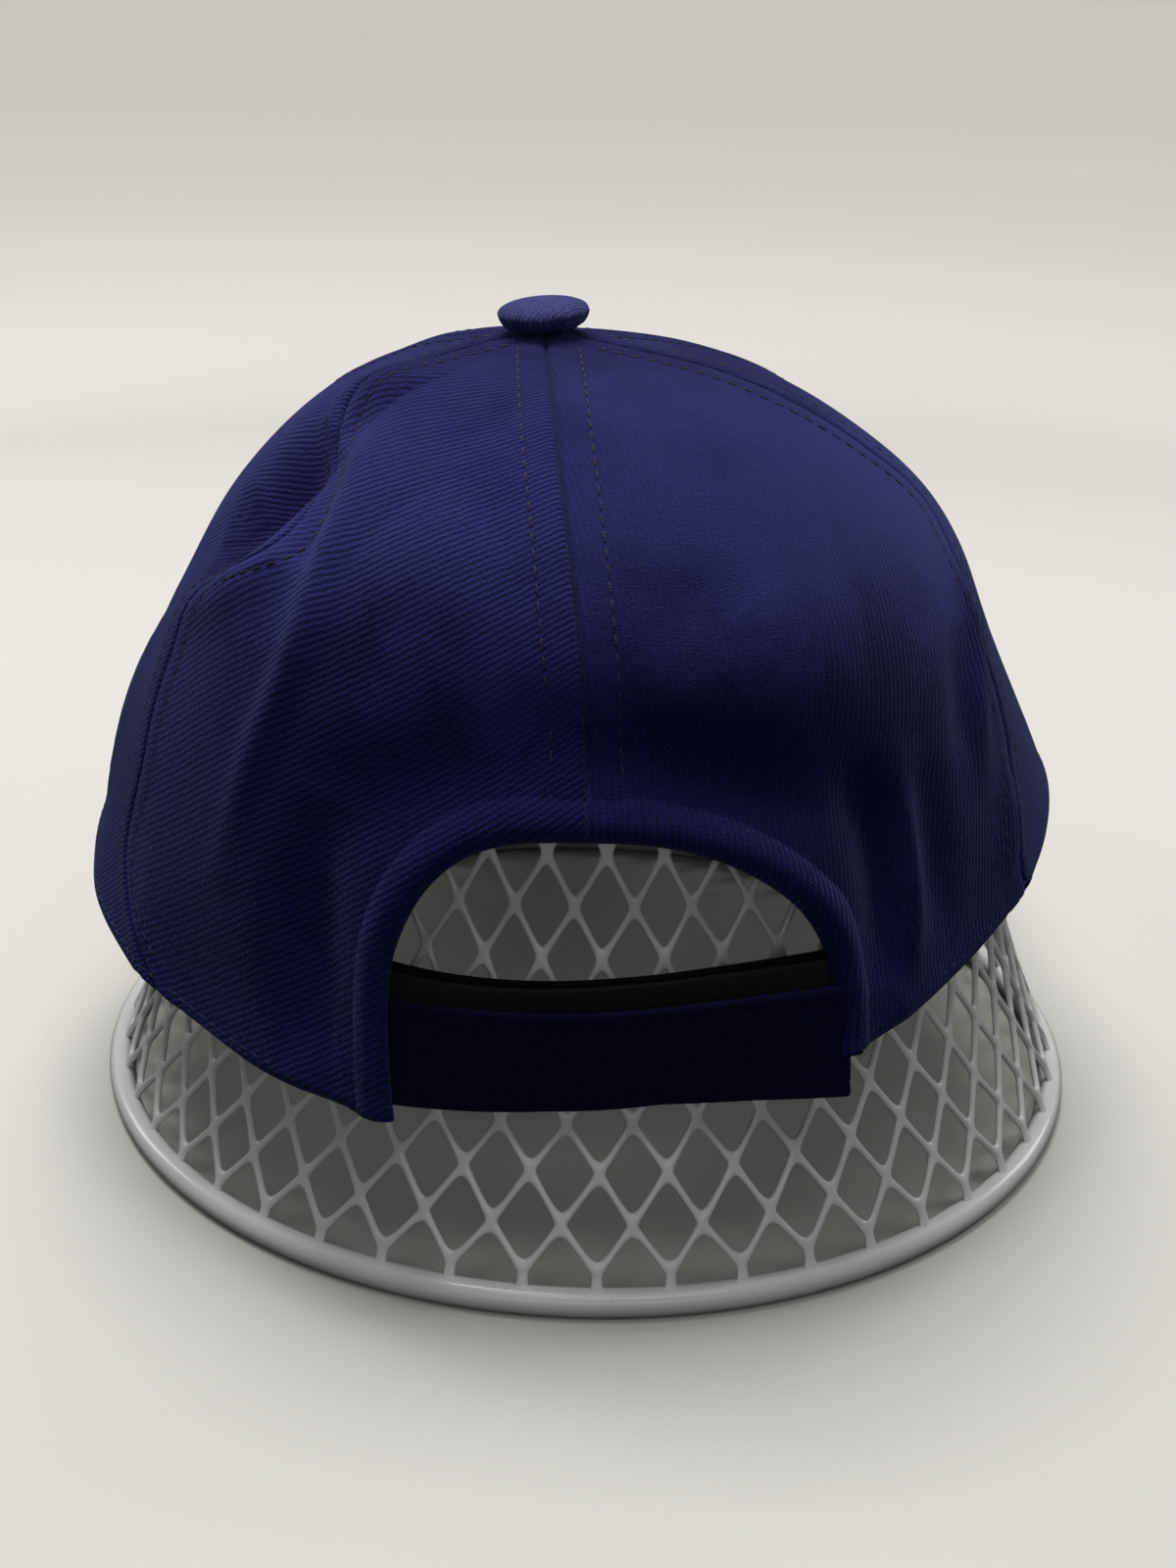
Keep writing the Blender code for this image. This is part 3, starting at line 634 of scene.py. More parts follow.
LOOP_TAPE = pile_material("loop_tape_nylon", *LOOP_BLACK, 2200.0, 0.4, 0.9)
THREAD = thread_material("navy_thread", (0.0026, 0.0029, 0.026))
STRAP_THREAD = thread_material("strap_thread", (0.0009, 0.0010, 0.015))
ENAMEL = enamel_material()
BOARD = board_material()
METAL = metal_material()


# Crown panels.
STITCH_OFFSET = 5.6  # of a row of topstitching from its seam
HEM_ROUNDING = 1.4
CLOTH_STEP = 1.15  # between a panel's columns
PANEL_ROWS = 122
HEM_SHARES = (0.0, 0.0015, 0.004, 0.008, 0.013)  # of the extra rows that round the hem
COLLAR_LAP = 2.5  # how far the collar covers the panels' cut edge


def seam_dip(distance):
    """How far the cloth is pulled in beside a seam, and stands proud over the seam allowance."""
    fold_in = -1.1 * np.exp(-((distance / 0.35) ** 2)) - 0.35 * np.exp(-((distance / 1.1) ** 2))
    allowance = 0.28 / (1 + np.exp((distance - STITCH_OFFSET - 0.6) / 0.5))
    stitch_line = -0.22 * np.exp(-(((distance - STITCH_OFFSET) / 0.7) ** 2))
    return fold_in + allowance + stitch_line


def leg_tuck(left, rise):
    """Degrees that the opening's two legs turn towards each other near the hem."""
    return np.where(left, LEFT_TUCK, -RIGHT_TUCK) * np.clip(1 - rise / TUCK_RISE, 0, 1) ** 1.3


def arch_side(left, outward):
    """Span in degrees, and squareness, of an arch that is a distance outward of the opening's edge."""
    span = np.where(left, ARCH_LEFT_SPAN, ARCH_RIGHT_SPAN) + DEGREES_PER_MM * outward
    return span, np.where(left, ARCH_LEFT_SQUARENESS, ARCH_RIGHT_SQUARENESS)


def arch_edge(turn, outward):
    """(azimuth, height) on an arch. turn runs from 0 at its right foot to pi at its left foot."""
    left = np.cos(turn) < 0
    span, squareness = arch_side(left, outward)
    power = 2 / squareness
    across = np.sign(np.cos(turn)) * np.abs(np.cos(turn)) ** power
    base = hem_height(np.radians(CENTRE_SEAM + span * across))
    rise = (ARCH_TOP + outward - base) * np.abs(np.sin(turn)) ** power
    azimuth = np.radians(CENTRE_SEAM + span * across + leg_tuck(left, rise))
    return azimuth, base + rise


def inside_arch(azimuth, points, outward):
    """Whether points of the crown lie inside an arch."""
    degrees = np.degrees(azimuth) - CENTRE_SEAM
    left = degrees < 0
    span, squareness = arch_side(left, outward)
    base = hem_height(azimuth)
    rise = np.clip(points[..., 2] - base, 0, None)
    degrees = degrees - leg_tuck(left, rise)
    return (np.abs(degrees) / span) ** squareness + (rise / (ARCH_TOP + outward - base)) ** squareness < 1


def panel_lift(to_seam, to_hem, share):
    """How far a panel's face stands off the crown, from its distances to the nearest seam and the hem."""
    turned_in = HEM_ROUNDING * np.exp(-((to_hem / 0.9) ** 2))
    doubled = 0.25 * np.exp(-((to_hem / 4.0) ** 4))
    return seam_dip(to_seam) * pole_fade(share) - turned_in + doubled


def cell_centres(grid):
    return 0.25 * (grid[:-1, :-1] + grid[1:, :-1] + grid[:-1, 1:] + grid[1:, 1:])


def add_crown_panel(name, first, last):
    width = CROWN_HALF_WIDTH * math.radians(last - first)
    t = rounded_spacing(0.0, 1.0, int(width / CLOTH_STEP), 1.6 / width)
    share = np.concatenate([HEM_SHARES, np.linspace(0.02, CROWN_TOP, PANEL_ROWS)])[:, None]
    start, end = seam_azimuth(first, share), seam_azimuth(last, share)
    a = start + (end - start) * t
    s = share + 0 * a
    points = crown_base(a, s)
    to_start, to_end = (lengths(points - crown_base(seam, share)) for seam in (start, end))
    to_hem = lengths(points - points[:1])
    grid = crown_point(a, s, panel_lift(np.minimum(to_start, to_end), to_hem, s))
    keep = None
    if name.startswith("back"):
        keep = ~inside_arch(cell_centres(a), cell_centres(points), COLLAR_WIDTH - COLLAR_LAP)
    cloth = FAINT_RIDGE_TWILL if name.endswith("right") else TWILL
    piece = grid_piece("crown_panel_" + name, grid, cloth, "cap", PATTERNS[name].place(a, s), keep=keep)
    thicken(piece, PANEL_THICKNESS)
    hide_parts("panel_" + name)


# The collar is the folded edge of the opening. Each row is (distance out from it, height above the crown).
COLLAR_PROFILE = (
    (8.6, -0.60), (7.8, -0.20), (7.2, -0.02), (6.7, 0.02), (6.2, 0.36), (5.4, 0.88),
    (4.2, 1.34), (3.0, 1.48), (1.9, 1.28), (1.0, 0.78), (0.4, 0.18), (0.05, -0.5), (0.0, -1.2),
    (0.3, -1.9), (1.0, -2.35), (2.2, -2.5), (4.5, -2.5), (7.5, -2.45),
)
COLLAR_ROWS = 44
COLLAR_COLUMNS = 96
COLLAR_THICKNESS = 0.5


def collar_roll(turn):
    """How much the collar rolls outwards: most at the lower right."""
    return 1.0 + 0.45 * np.clip(np.cos(turn), 0, 1) ** 1.5


def collar_point(turn, outward, height):
    azimuth, level = arch_edge(turn, outward)
    share = share_at_height(azimuth, level)
    roll = collar_roll(turn)
    # A rolled collar's edge also turns further in.
    tuck = (roll - 1) * np.exp(-((outward / 2.2) ** 2))
    crest = np.where(height > 0, height * roll, height - tuck)
    seam = np.abs(np.degrees(azimuth) - CENTRE_SEAM) / DEGREES_PER_MM
    dip = -0.7 * np.exp(-((seam / 0.4) ** 2)) * (height > -0.6)
    return crown_point(azimuth, share, crest + dip), azimuth, share


def add_collar(side, first_turn, last_turn):
    fine = np.linspace(0, 1, COLLAR_ROWS)
    outward, height = (through(values, fine) for values in np.asarray(COLLAR_PROFILE).T)
    turn = np.radians(rounded_spacing(first_turn, last_turn, COLLAR_COLUMNS, 1.2))
    t, o = np.meshgrid(turn, outward)
    h = np.broadcast_to(height[:, None], t.shape)
    grid, azimuth, share = collar_point(t, o, h)
    uv = PATTERNS["back_" + side].place(azimuth, share)
    piece = grid_piece("opening_collar_" + side, grid, TWILL, "cap", uv)
    thicken(piece, COLLAR_THICKNESS)
    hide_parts("opening_binding")


# Stitches.
STITCH_RINGS = 6
STITCH_SIDES = 6
STITCH_SINK = 0.06


def stitch_run(spine, normals, length=2.1, pitch=2.9, radius=0.2):
    """Capsule-shaped stitches along a line of points, each lying on the cloth. Returns points and faces."""
    travel = travel_along(spine)
    count = max(int((travel[-1] - length) / pitch), 1)
    points, faces = [], []

    def along(values, place):
        return np.array([np.interp(place, travel, values[:, i]) for i in range(3)])

    for k in range(count):
        start = 0.5 * (travel[-1] - (count - 1) * pitch - length) + k * pitch
        first = len(points)
        for ring in range(STITCH_RINGS):
            share = ring / (STITCH_RINGS - 1)
            place = start + share * length
            centre = along(spine, place)
            normal = along(normals, place)
            normal /= np.linalg.norm(normal)
            forward = along(spine, place + 0.4) - centre
            forward /= max(np.linalg.norm(forward), 1e-9)
            side = np.cross(forward, normal)
            swell = radius * math.sin(math.pi * (0.12 + 0.76 * share)) ** 0.6
            arc = 0.5 * radius * math.sin(math.pi * share) - STITCH_SINK
            for c in range(STITCH_SIDES):
                a = 2 * math.pi * c / STITCH_SIDES
                points.append(centre + normal * (arc + swell * math.sin(a)) + side * swell * math.cos(a))
        faces += grid_faces(STITCH_RINGS, STITCH_SIDES, ring=True, start=first)
        end = first + (STITCH_RINGS - 1) * STITCH_SIDES
        faces.append(tuple(first + c for c in reversed(range(STITCH_SIDES))))
        faces.append(tuple(end + c for c in range(STITCH_SIDES)))
    return points, faces


def add_stitching(name, runs, body="cap", thread=THREAD, **sizes):
    """One piece from several runs of stitches. Each run is (spine, normals)."""
    points, faces = [], []
    for spine, normals in runs:
        more, shapes = stitch_run(np.asarray(spine), np.asarray(normals), **sizes)
        offset = len(points)
        points += more
        faces += [tuple(i + offset for i in face) for face in shapes]
    piece = mesh_piece(name, np.array(points), faces, thread, body)


def seam_stitch_runs(seam):
    runs = []
    share = np.linspace(0.03, 0.93, 90)
    middle = seam_azimuth(seam, share)
    for side in (-1, 1):
        azimuth = middle + side * turn_for(middle, share, STITCH_OFFSET)
        clear = np.ones(len(share), bool)
        if seam == CENTRE_SEAM:
            clear = ~inside_arch(azimuth, crown_base(azimuth, share), COLLAR_WIDTH + 1.0)
        runs.append((crown_point(azimuth, share, 0.05)[clear], crown_normal(azimuth, share)[clear]))
    return runs


def add_crown_stitching():
    for name, (seam, _) in PANELS.items():
        add_stitching("topstitch_" + name, seam_stitch_runs(seam))
    azimuth = np.radians(np.linspace(44, 330, 400))
    share = share_at_height(azimuth, hem_height(azimuth) + 2.2)
    add_stitching("hem_stitch", [(crown_point(azimuth, share, 0.06), crown_normal(azimuth, share))])


# Linings inside the crown.
TAPED_SEAMS = {
    "back_centre": 5,
    "back_right": 75,
    "front_right": 127,
    "front_centre": 181,
    "front_left": 235,
    "back_left": 290,
}
TAPE_HALF_WIDTH = 6.0
TAPE_THICKNESS = 0.5
LINING_DEPTH = 2.0  # behind the crown's outer face
FRONT_TAPE_DEPTH = 2.9  # over the stiffeners
BUCKRAM_THICKNESS = 0.6
BUCKRAM_MARGIN = 7.5  # from the side seams
SWEATBAND_DEPTH = 1.8
SWEATBAND_THICKNESS = 1.4
LINING_FOOT = 0.225  # profile share, just above the sweatband
SWEATBAND_SHARES = (0.012, 0.2)


def add_lining(name, node, azimuths, shares, depth, thickness, material, slot):
    """A strip inside the crown: azimuths has a row for each share."""
    grid = crown_point(azimuths, shares, -depth)
    rows = travel_along(grid[:, 0])
    across = lengths(np.diff(grid, axis=1)).cumsum(1)
    across = np.concatenate([np.zeros((len(grid), 1)), across], 1)
    uv = np.stack([across, np.broadcast_to(rows[:, None], across.shape)], -1)
    piece = grid_piece(name, grid, material, "cap", uv)
    thicken(piece, thickness)
    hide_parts(node)


def add_seam_tapes():
    for name, seam in TAPED_SEAMS.items():
        foot = LINING_FOOT
        if name == "back_centre":
            foot = float(share_at_height(np.radians(np.array([seam])), ARCH_TOP + COLLAR_WIDTH + 1.5)[0])
        share = np.linspace(foot, 0.8, 60)[:, None]
        middle = seam_azimuth(seam, share)
        across = np.linspace(-1, 1, 9)[None]
        azimuths = middle + turn_for(middle, share, TAPE_HALF_WIDTH) * across
        depth = FRONT_TAPE_DEPTH if name == "front_centre" else LINING_DEPTH
        depth = depth - 0.35 * (1 - np.abs(across) ** 2)  # the tape bridges the seam allowance
        node = "tape_" + name
        add_lining("seam_" + node, node, azimuths, share, depth, TAPE_THICKNESS, TAPE_CLOTH, "seam_tape")


def add_stiffeners():
    for side in ("right", "left"):
        share = np.linspace(LINING_FOOT, 0.78, 50)[:, None]
        first, last = (seam_azimuth(seam, share) for seam in PANELS["front_" + side])
        margin, gap = turn_for(first, share, BUCKRAM_MARGIN), turn_for(last, share, 0.4)
        start, end = (first + margin, last - gap) if side == "right" else (first + gap, last - margin)
        azimuths = start + (end - start) * np.linspace(0, 1, 40)[None]
        node = "buckram_" + side
        size = (azimuths, share, LINING_DEPTH, BUCKRAM_THICKNESS)
        add_lining("stiffener_" + side, node, *size, BUCKRAM, "buckram")


def add_sweatband():
    low, high = SWEATBAND_SHARES
    share = np.linspace(low, high, 24)[:, None]
    azimuths = np.radians(np.linspace(42, 332, 300)) + 0 * share
    depth = SWEATBAND_DEPTH - 0.25 * np.sin(np.pi * (share - low) / (high - low))  # a little padding
    size = (azimuths, share, depth, SWEATBAND_THICKNESS)
    add_lining("folded_sweatband", "sweatband", *size, BAND_TWILL, "sweatband_twill")


# Straps. Radii are from the basket's axis, and angles in degrees from the back.
STRAP_SLOPE = 0.02
HOOK_HEIGHTS = (35.0, 54.0)
LOOP_HEIGHTS = (39.0, 58.0)
HOOK_RADIUS = 91.0
LOOP_RADIUS = 86.9
HOOK_THICKNESS = 1.5
LOOP_THICKNESS = 1.4
FASTENER_THICKNESS = 1.0
HOOK_TAPE_RADIUS = 89.4
LOOP_TAPE_RADIUS = 88.1
HOOK_TAPE_MARGIN = 1.5
LOOP_TAPE_MARGIN = 0.8
SECTION_STEPS = 26
HOOK_STITCHES = (2.4, 2.9)  # distances of the two rows from the foot and the top
STRAP_LEAN = ((-22, -14, -4, 8, 18, 27), (-0.3, 0.3, 0.9, 1.0, 0.1, -0.9))  # angles, and how far it leans
STRAP_DIP = 3  # where it hangs level
# The last rows of a strap's end: (how much of the section is left, travel as a share of the thickness).
BAND_END = ((0.9, 0.25), (0.55, 0.42), (0.1, 0.46))


def around(radius, degrees, height):
    angle = np.radians(degrees)
    return np.stack([radius * np.sin(angle), -radius * np.cos(angle), height + 0 * angle], -1)


def band_section(heights, thickness):
    """Outline of a strap's section, as (height, depth behind its outer face), right round."""
    low, high = heights
    half = 0.5 * thickness
    rise = np.linspace(low + half, high - half, SECTION_STEPS)
    turns = np.radians(np.linspace(90, -90, 9))[1:-1]
    front = [(z, 0.0) for z in rise]
    top = [(high - half + half * math.cos(a), half - half * math.sin(a)) for a in turns]
    back = [(z, thickness) for z in rise[::-1]]
    foot = [(low + half - half * math.cos(a), half + half * math.sin(a)) for a in turns]
    return np.array(front + top + back + foot)


def strap_settling(degrees, height):
    """How the straps settle against the basket: the change of radius, and of height."""
    lean = np.interp(degrees, *STRAP_LEAN)
    size, rate = (1.3, 5.2) if degrees < STRAP_DIP else (0.9, 7.0)
    low, high = HOOK_HEIGHTS
    swing = size * math.sin(math.radians(rate * (degrees - STRAP_DIP)))
    return -3.0 * lean * (high - height) / (high - low), swing


def strap_points(radius, degrees, height, wave):
    settled, swing = strap_settling(degrees, height)
    points = around(radius + settled + wave(degrees, height), degrees, height)
    points[:, 2] += STRAP_SLOPE * points[:, 0] + swing
    return points


def band_grid(radius, degrees, section, wave):
    """A strap's points: a row for each angle, round its section. wave adds to the radius."""
    return np.array([strap_points(radius - section[:, 1], d, section[:, 0], wave) for d in degrees])


def add_band(name, radius, degrees, heights, thickness, material, body, wave, slot):
    """A strap with rounded edges. Its ends are closed by drawing the last rows in."""
    section = band_section(heights, thickness)
    grid = band_grid(radius, degrees, section, wave)
    half_height = 0.5 * (heights[1] - heights[0])
    middle = np.array([section[:, 0].mean(), 0.5 * thickness])
    ends = []
    for degree, outward in ((degrees[0], -1), (degrees[-1], 1)):
        rows = []
        for shrink, travel in BAND_END:
            shorten = 1 - (1 - shrink) * 0.5 * thickness / half_height
            narrowed = middle + (section - middle) * np.array([shorten, shrink])
            turn = degree + outward * math.degrees(travel * thickness / radius)
            rows.append(band_grid(radius, [turn], narrowed, wave)[0])
        ends.append(rows)
    grid = np.concatenate([np.array(ends[0][::-1]), grid, np.array(ends[1])])
    count, columns = grid.shape[:2]
    faces = grid_faces(count, columns, ring=True)
    faces += end_cap(0, columns, flip=True) + end_cap((count - 1) * columns, columns, flip=False)
    uv = np.stack(np.broadcast_arrays(travel_along(grid[:, 0])[:, None], section[None, :, 0]), -1)
    faces = [face[::-1] for face in faces]
    piece = mesh_piece(name, grid.reshape(-1, 3), faces, material, body, uv.reshape(-1, 2))
    return piece


def end_cap(start, columns, flip):
    """Faces that close a strap's end: strips between the front and the back of its section."""
    faces = []
    half = columns // 2
    for k in range(half - 1):
        a, b = start + k, start + k + 1
        c, d = start + columns - 1 - k - 1, start + columns - 1 - k
        faces.append((a, b, c, d) if flip else (d, c, b, a))
    return faces


def hook_wave(degrees, height):
    """The outer strap stands a little off where its top edge is folded, and bows between its ends."""
    crease = -0.35 * np.exp(-(((height - HOOK_HEIGHTS[1] + HOOK_STITCHES[1]) / 0.45) ** 2))
    low_stitch = -0.25 * np.exp(-(((height - HOOK_HEIGHTS[0] - HOOK_STITCHES[0]) / 0.5) ** 2))
    bow = 0.35 * math.sin(math.radians(degrees * 5.5)) + 0.2 * math.sin(math.radians(degrees * 13 + 40))
    return crease + low_stitch + bow


def loop_wave(degrees, height):
    crease = -0.25 * np.exp(-(((height - LOOP_HEIGHTS[1] + 2.4) / 0.5) ** 2))
    return crease + 0.25 * math.sin(math.radians(degrees * 6 + 60))


def still(_, height):
    """The tapes are sewn flat."""
    return 0.0 * height


def add_straps():
    degrees = np.linspace(-24, 26.8, 150)
    size = (HOOK_RADIUS, degrees, HOOK_HEIGHTS, HOOK_THICKNESS)
    hook = add_band("hook_strap_band", *size, STRAP_CLOTH, None, hook_wave, "strap_cloth")
    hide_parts("hook_strap", "hook_strap_sewn_end")
    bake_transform(hook)
    degrees = np.linspace(-22.4, 30.5, 150)
    size = (LOOP_RADIUS, degrees, LOOP_HEIGHTS, LOOP_THICKNESS)
    loop = add_band("loop_strap_band", *size, LOOP_CLOTH, None, loop_wave, "strap_cloth")
    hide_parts("loop_strap", "loop_strap_sewn_end")
    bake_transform(loop)
    degrees = np.linspace(-13.8, 23.3, 90)
    tape = (HOOK_HEIGHTS[0] + HOOK_TAPE_MARGIN, HOOK_HEIGHTS[1] - HOOK_TAPE_MARGIN)
    size = (HOOK_TAPE_RADIUS, degrees, tape, FASTENER_THICKNESS)
    patch = add_band("hook_tape_patch", *size, HOOK_TAPE, "hook_strap", still, "hook_tape")
    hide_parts("hook_patch")
    degrees = np.linspace(-21.5, 27.0, 96)
    tape = (LOOP_HEIGHTS[0] + LOOP_TAPE_MARGIN, LOOP_HEIGHTS[1] - LOOP_TAPE_MARGIN)
    size = (LOOP_TAPE_RADIUS, degrees, tape, FASTENER_THICKNESS)
    patch = add_band("loop_tape_patch", *size, LOOP_TAPE, "loop_strap", still, "loop_tape")
    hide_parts("loop_patch")
    add_strap_stitching()


def add_strap_stitching():
    degrees = np.linspace(-13.5, 26.0, 120)
    runs = []
    for height in (HOOK_HEIGHTS[1] - HOOK_STITCHES[1], HOOK_HEIGHTS[0] + HOOK_STITCHES[0]):
        level = np.array([height])
        spine = np.array([strap_points(HOOK_RADIUS, d, level, hook_wave)[0] for d in degrees])
        runs.append((spine, around(1.0, degrees, 0.0)))
    sizes = {"length": 2.0, "pitch": 2.6, "radius": 0.12}
    add_stitching("hook_strap_stitching", runs, "hook_strap", STRAP_THREAD, **sizes)


# Visor.
VISOR_HALF_SPAN = 62.0
VISOR_TIP = 161.12
VISOR_SQUARENESS = 2.3
VISOR_STACK = 1.85  # from the board's middle to a cover's middle
VISOR_CLEARANCE = 0.8  # between the visor and the crown
VISOR_RISE = 3.0  # of its board's middle over the hem
VISOR_CLOTH_THICKNESS = 0.9
VISOR_ROWS = 8
VISOR_ROW_SPREAD = 1.04
# How each cover folds over the board's edge: (distance beyond it, drop towards the board's middle).
VISOR_WRAP = ((0.0, 0.02), (0.6, 0.2), (1.0, 0.65), (1.2, 1.2), (1.25, 1.8))


def visor_point(sweep, outward, lift, beyond=0.0, tuck=0.0):
    """sweep runs from -1 to 1 across the visor, and outward from 0 at the hem to 1 at its edge.

    beyond is a distance past that point, and tuck one back towards the crown's axis.
    """
    half_span = math.radians(VISOR_HALF_SPAN)
    inner = crown_base(math.pi - sweep * half_span, 0.0 * sweep)
    corner = crown_base(math.pi - half_span, 0.0)
    turn = sweep * math.pi / 2
    power = 2 / VISOR_SQUARENESS
    reach = np.sign(sweep) * np.abs(np.sin(turn)) ** power
    outer_x = CROWN_CENTRE[0] + (corner[0] - CROWN_CENTRE[0]) * reach
    outer_y = corner[1] + (VISOR_TIP - corner[1]) * np.abs(np.cos(turn)) ** power
    away_x, away_y = outer_x - inner[..., 0], outer_y - inner[..., 1]
    out_x, out_y = inner[..., 0] - CROWN_CENTRE[0], inner[..., 1] - CROWN_CENTRE[1]
    clear = (VISOR_CLEARANCE - tuck) / np.hypot(out_x, out_y)
    slope = 0.17 + 0.25 * np.sin(turn) ** 2
    away = np.hypot(away_x, away_y)
    x = inner[..., 0] + out_x * clear + away_x * (outward + beyond / away)
    y = inner[..., 1] + out_y * clear + away_y * (outward + beyond / away)
    z = inner[..., 2] + VISOR_RISE - slope * away * outward + lift
    return np.stack([x, y, z], -1)


def add_visor_cover(name, node, side):
    """side is 1 for the upper cover, -1 for the under one."""
    sweep = np.linspace(-0.955, 0.955, 152)
    flat = np.linspace(0, 0.99, 92)
    s, o = np.meshgrid(sweep, np.concatenate([[0, 0], flat, np.ones(len(VISOR_WRAP))]))
    level = np.zeros((len(flat) + 2, 2))
    beyond, drop = np.concatenate([level, VISOR_WRAP])[:, :, None].transpose(1, 0, 2)
    tuck = np.zeros_like(beyond)
    tuck[:2, 0] = (3.2, 1.6)  # into the seam under the crown's hem
    rows = np.abs((o * VISOR_ROWS * VISOR_ROW_SPREAD) % 1.0 - 0.5)
    channel = 0.22 * np.exp(-((rows / 0.07) ** 2)) * (o < 0.96) * (o > 0.03)
    grid = visor_point(s, o, side * VISOR_STACK - side * (channel + drop), beyond, tuck)
    piece = grid_piece(name, grid, TWILL, "cap", grid[..., :2])
    thicken(piece, VISOR_CLOTH_THICKNESS, offset=0.0)
    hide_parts(node)


def add_visor():
    add_visor_cover("visor_top_cloth", "visor_upper_cover", 1)
    add_visor_cover("visor_under_cloth", "visor_under_cover", -1)
    sweep = np.linspace(-0.935, 0.935, 260)
    up = np.broadcast_to(np.array([0.0, 0.17, 1.0]), (len(sweep), 3))
    for name, side in (("top", 1), ("under", -1)):
        outward = [(k - 0.5) / (VISOR_ROWS * VISOR_ROW_SPREAD) for k in range(1, VISOR_ROWS)]
        runs = [(visor_point(sweep, place, side * (VISOR_STACK + 0.30)), side * up) for place in outward]
        add_stitching("visor_stitching_" + name, runs)
    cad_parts["visor_board"].data.materials[0] = BOARD


# Button. Its profile is (share of the radius, share of the height), from the top round to underneath.
BUTTON_PROFILE = (
    (0.0, 1.0), (0.28, 0.99), (0.52, 0.955), (0.75, 0.88), (0.92, 0.75), (1.0, 0.57),
    (0.985, 0.40), (0.93, 0.21), (0.84, 0.06), (0.7, 0.0), (0.02, 0.0),
)
BUTTON_FLATNESS = 0.86
BUTTON_SINK = 0.6
BUTTON_TILT = (3.0, -5.0, 0.0)


def add_button():
    """A domed, cloth-covered button that sits a little askew, its cover gathered under the edge."""
    low, high = (np.array(c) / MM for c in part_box("button"))
    centre = 0.5 * (low + high) - np.array(STAND_CENTRE) / MM
    radius, height = 0.5 * (high[0] - low[0]), high[2] - low[2]
    fine = np.linspace(0, 1, 60)
    reach, rise = (through(values, fine) for values in np.array(BUTTON_PROFILE).T)
    t, r = np.meshgrid(np.linspace(0, 2 * np.pi, 96, endpoint=False), reach)
    z = np.broadcast_to(rise[:, None], t.shape)
    gather = 1 - 0.018 * np.clip(1 - z, 0, 1) * (1 + np.sin(14 * t + 0.6 * np.sin(3 * t)))
    dent = 1 - 0.05 * np.exp(-(((t - 4.2) % (2 * np.pi) - 0.4) ** 2) / 0.3) * r
    x, y = radius * r * gather * np.cos(t), radius * r * gather * np.sin(t)
    local = np.stack([x, y, (z * dent - 0.5) * height * BUTTON_FLATNESS - BUTTON_SINK], -1)
    tilt = np.array(Euler([math.radians(a) for a in BUTTON_TILT]).to_matrix())
    grid = local @ tilt.T + centre
    piece = grid_piece("crown_button", grid, BUTTON_PAINTED_LIGHT_TWILL, "cap", local[..., :2] * 1.15, ring=True)
    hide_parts("button")
    for node in ("button_rivet", "button_washer"):
        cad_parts[node].data.materials[0] = METAL


# Basket.
CELLS_ROUND = 48
CELL_PHASE = 1.75  # degrees from the back to the first knuckle of the lowest row
ROW_HEIGHTS = (6.05, 13.1, 20.9, 28.6, 37.0, 45.6, 54.4, 63.0, 71.9, 80.9, 90.2)
LATTICE_TILT = (math.radians(-0.47), math.radians(-0.84))
WALL_RADIUS_FOOT = 95.2
WALL_RADIUS_TOP = 71.6
WALL_FLARE = 1.75
WALL_HEIGHT = 81.0
KNUCKLE_HALF_HEIGHT = 1.8
KNUCKLE_HALF_WIDTH = 0.95
STRAND_HALF_WIDTH = 0.62
STRAND_THICKNESS = 1.3
# Places along a strand of the points on its crotch side and its open side, each with its half width.
# They start later on the crotch side, where two strands part, and are widest near the knuckles.
CROTCH_SIDE = ((0.26, 1.12), (0.40, 1.0), (0.56, 1.0), (0.72, 1.0), (0.86, 1.15))
OPEN_SIDE = ((0.14, 1.15), (0.28, 1.0), (0.44, 1.0), (0.60, 1.0), (0.74, 1.12))
STEM_FOOT = 2.0  # height of the lowest knuckles' feet, inside the rim
STEM_SPREAD = ((1.0, 0.3), (1.35, 0.62), (2.3, 1.0))  # (share of the knuckle's width, share of the way down)
BEAD_RADIUS = 2.3
BEAD_STEPS = 28
PAN_SHOULDER = 9.0
PAN_SHEET = 1.0


def wall_radius(height):
    share = np.clip(np.asarray(height, float) / WALL_HEIGHT, 0.0, 1.0)
    return WALL_RADIUS_TOP + (WALL_RADIUS_FOOT - WALL_RADIUS_TOP) * (1 - share) ** WALL_FLARE


def wall_point(angle, height):
    """A point of the lattice, whose rows are cut at a slight tilt to the rim, less at the foot and top."""
    radius = wall_radius(height)
    x, y = radius * math.sin(angle), -radius * math.cos(angle)
    lift = y * math.tan(LATTICE_TILT[0]) - x * math.tan(LATTICE_TILT[1])
    fade = min(max(height / 30.0, 0.0), 1.0)
    settled = height + lift * (1.0 if height < 75 else 0.4) * (0.6 + 0.4 * fade)
    return (x, y, settled)


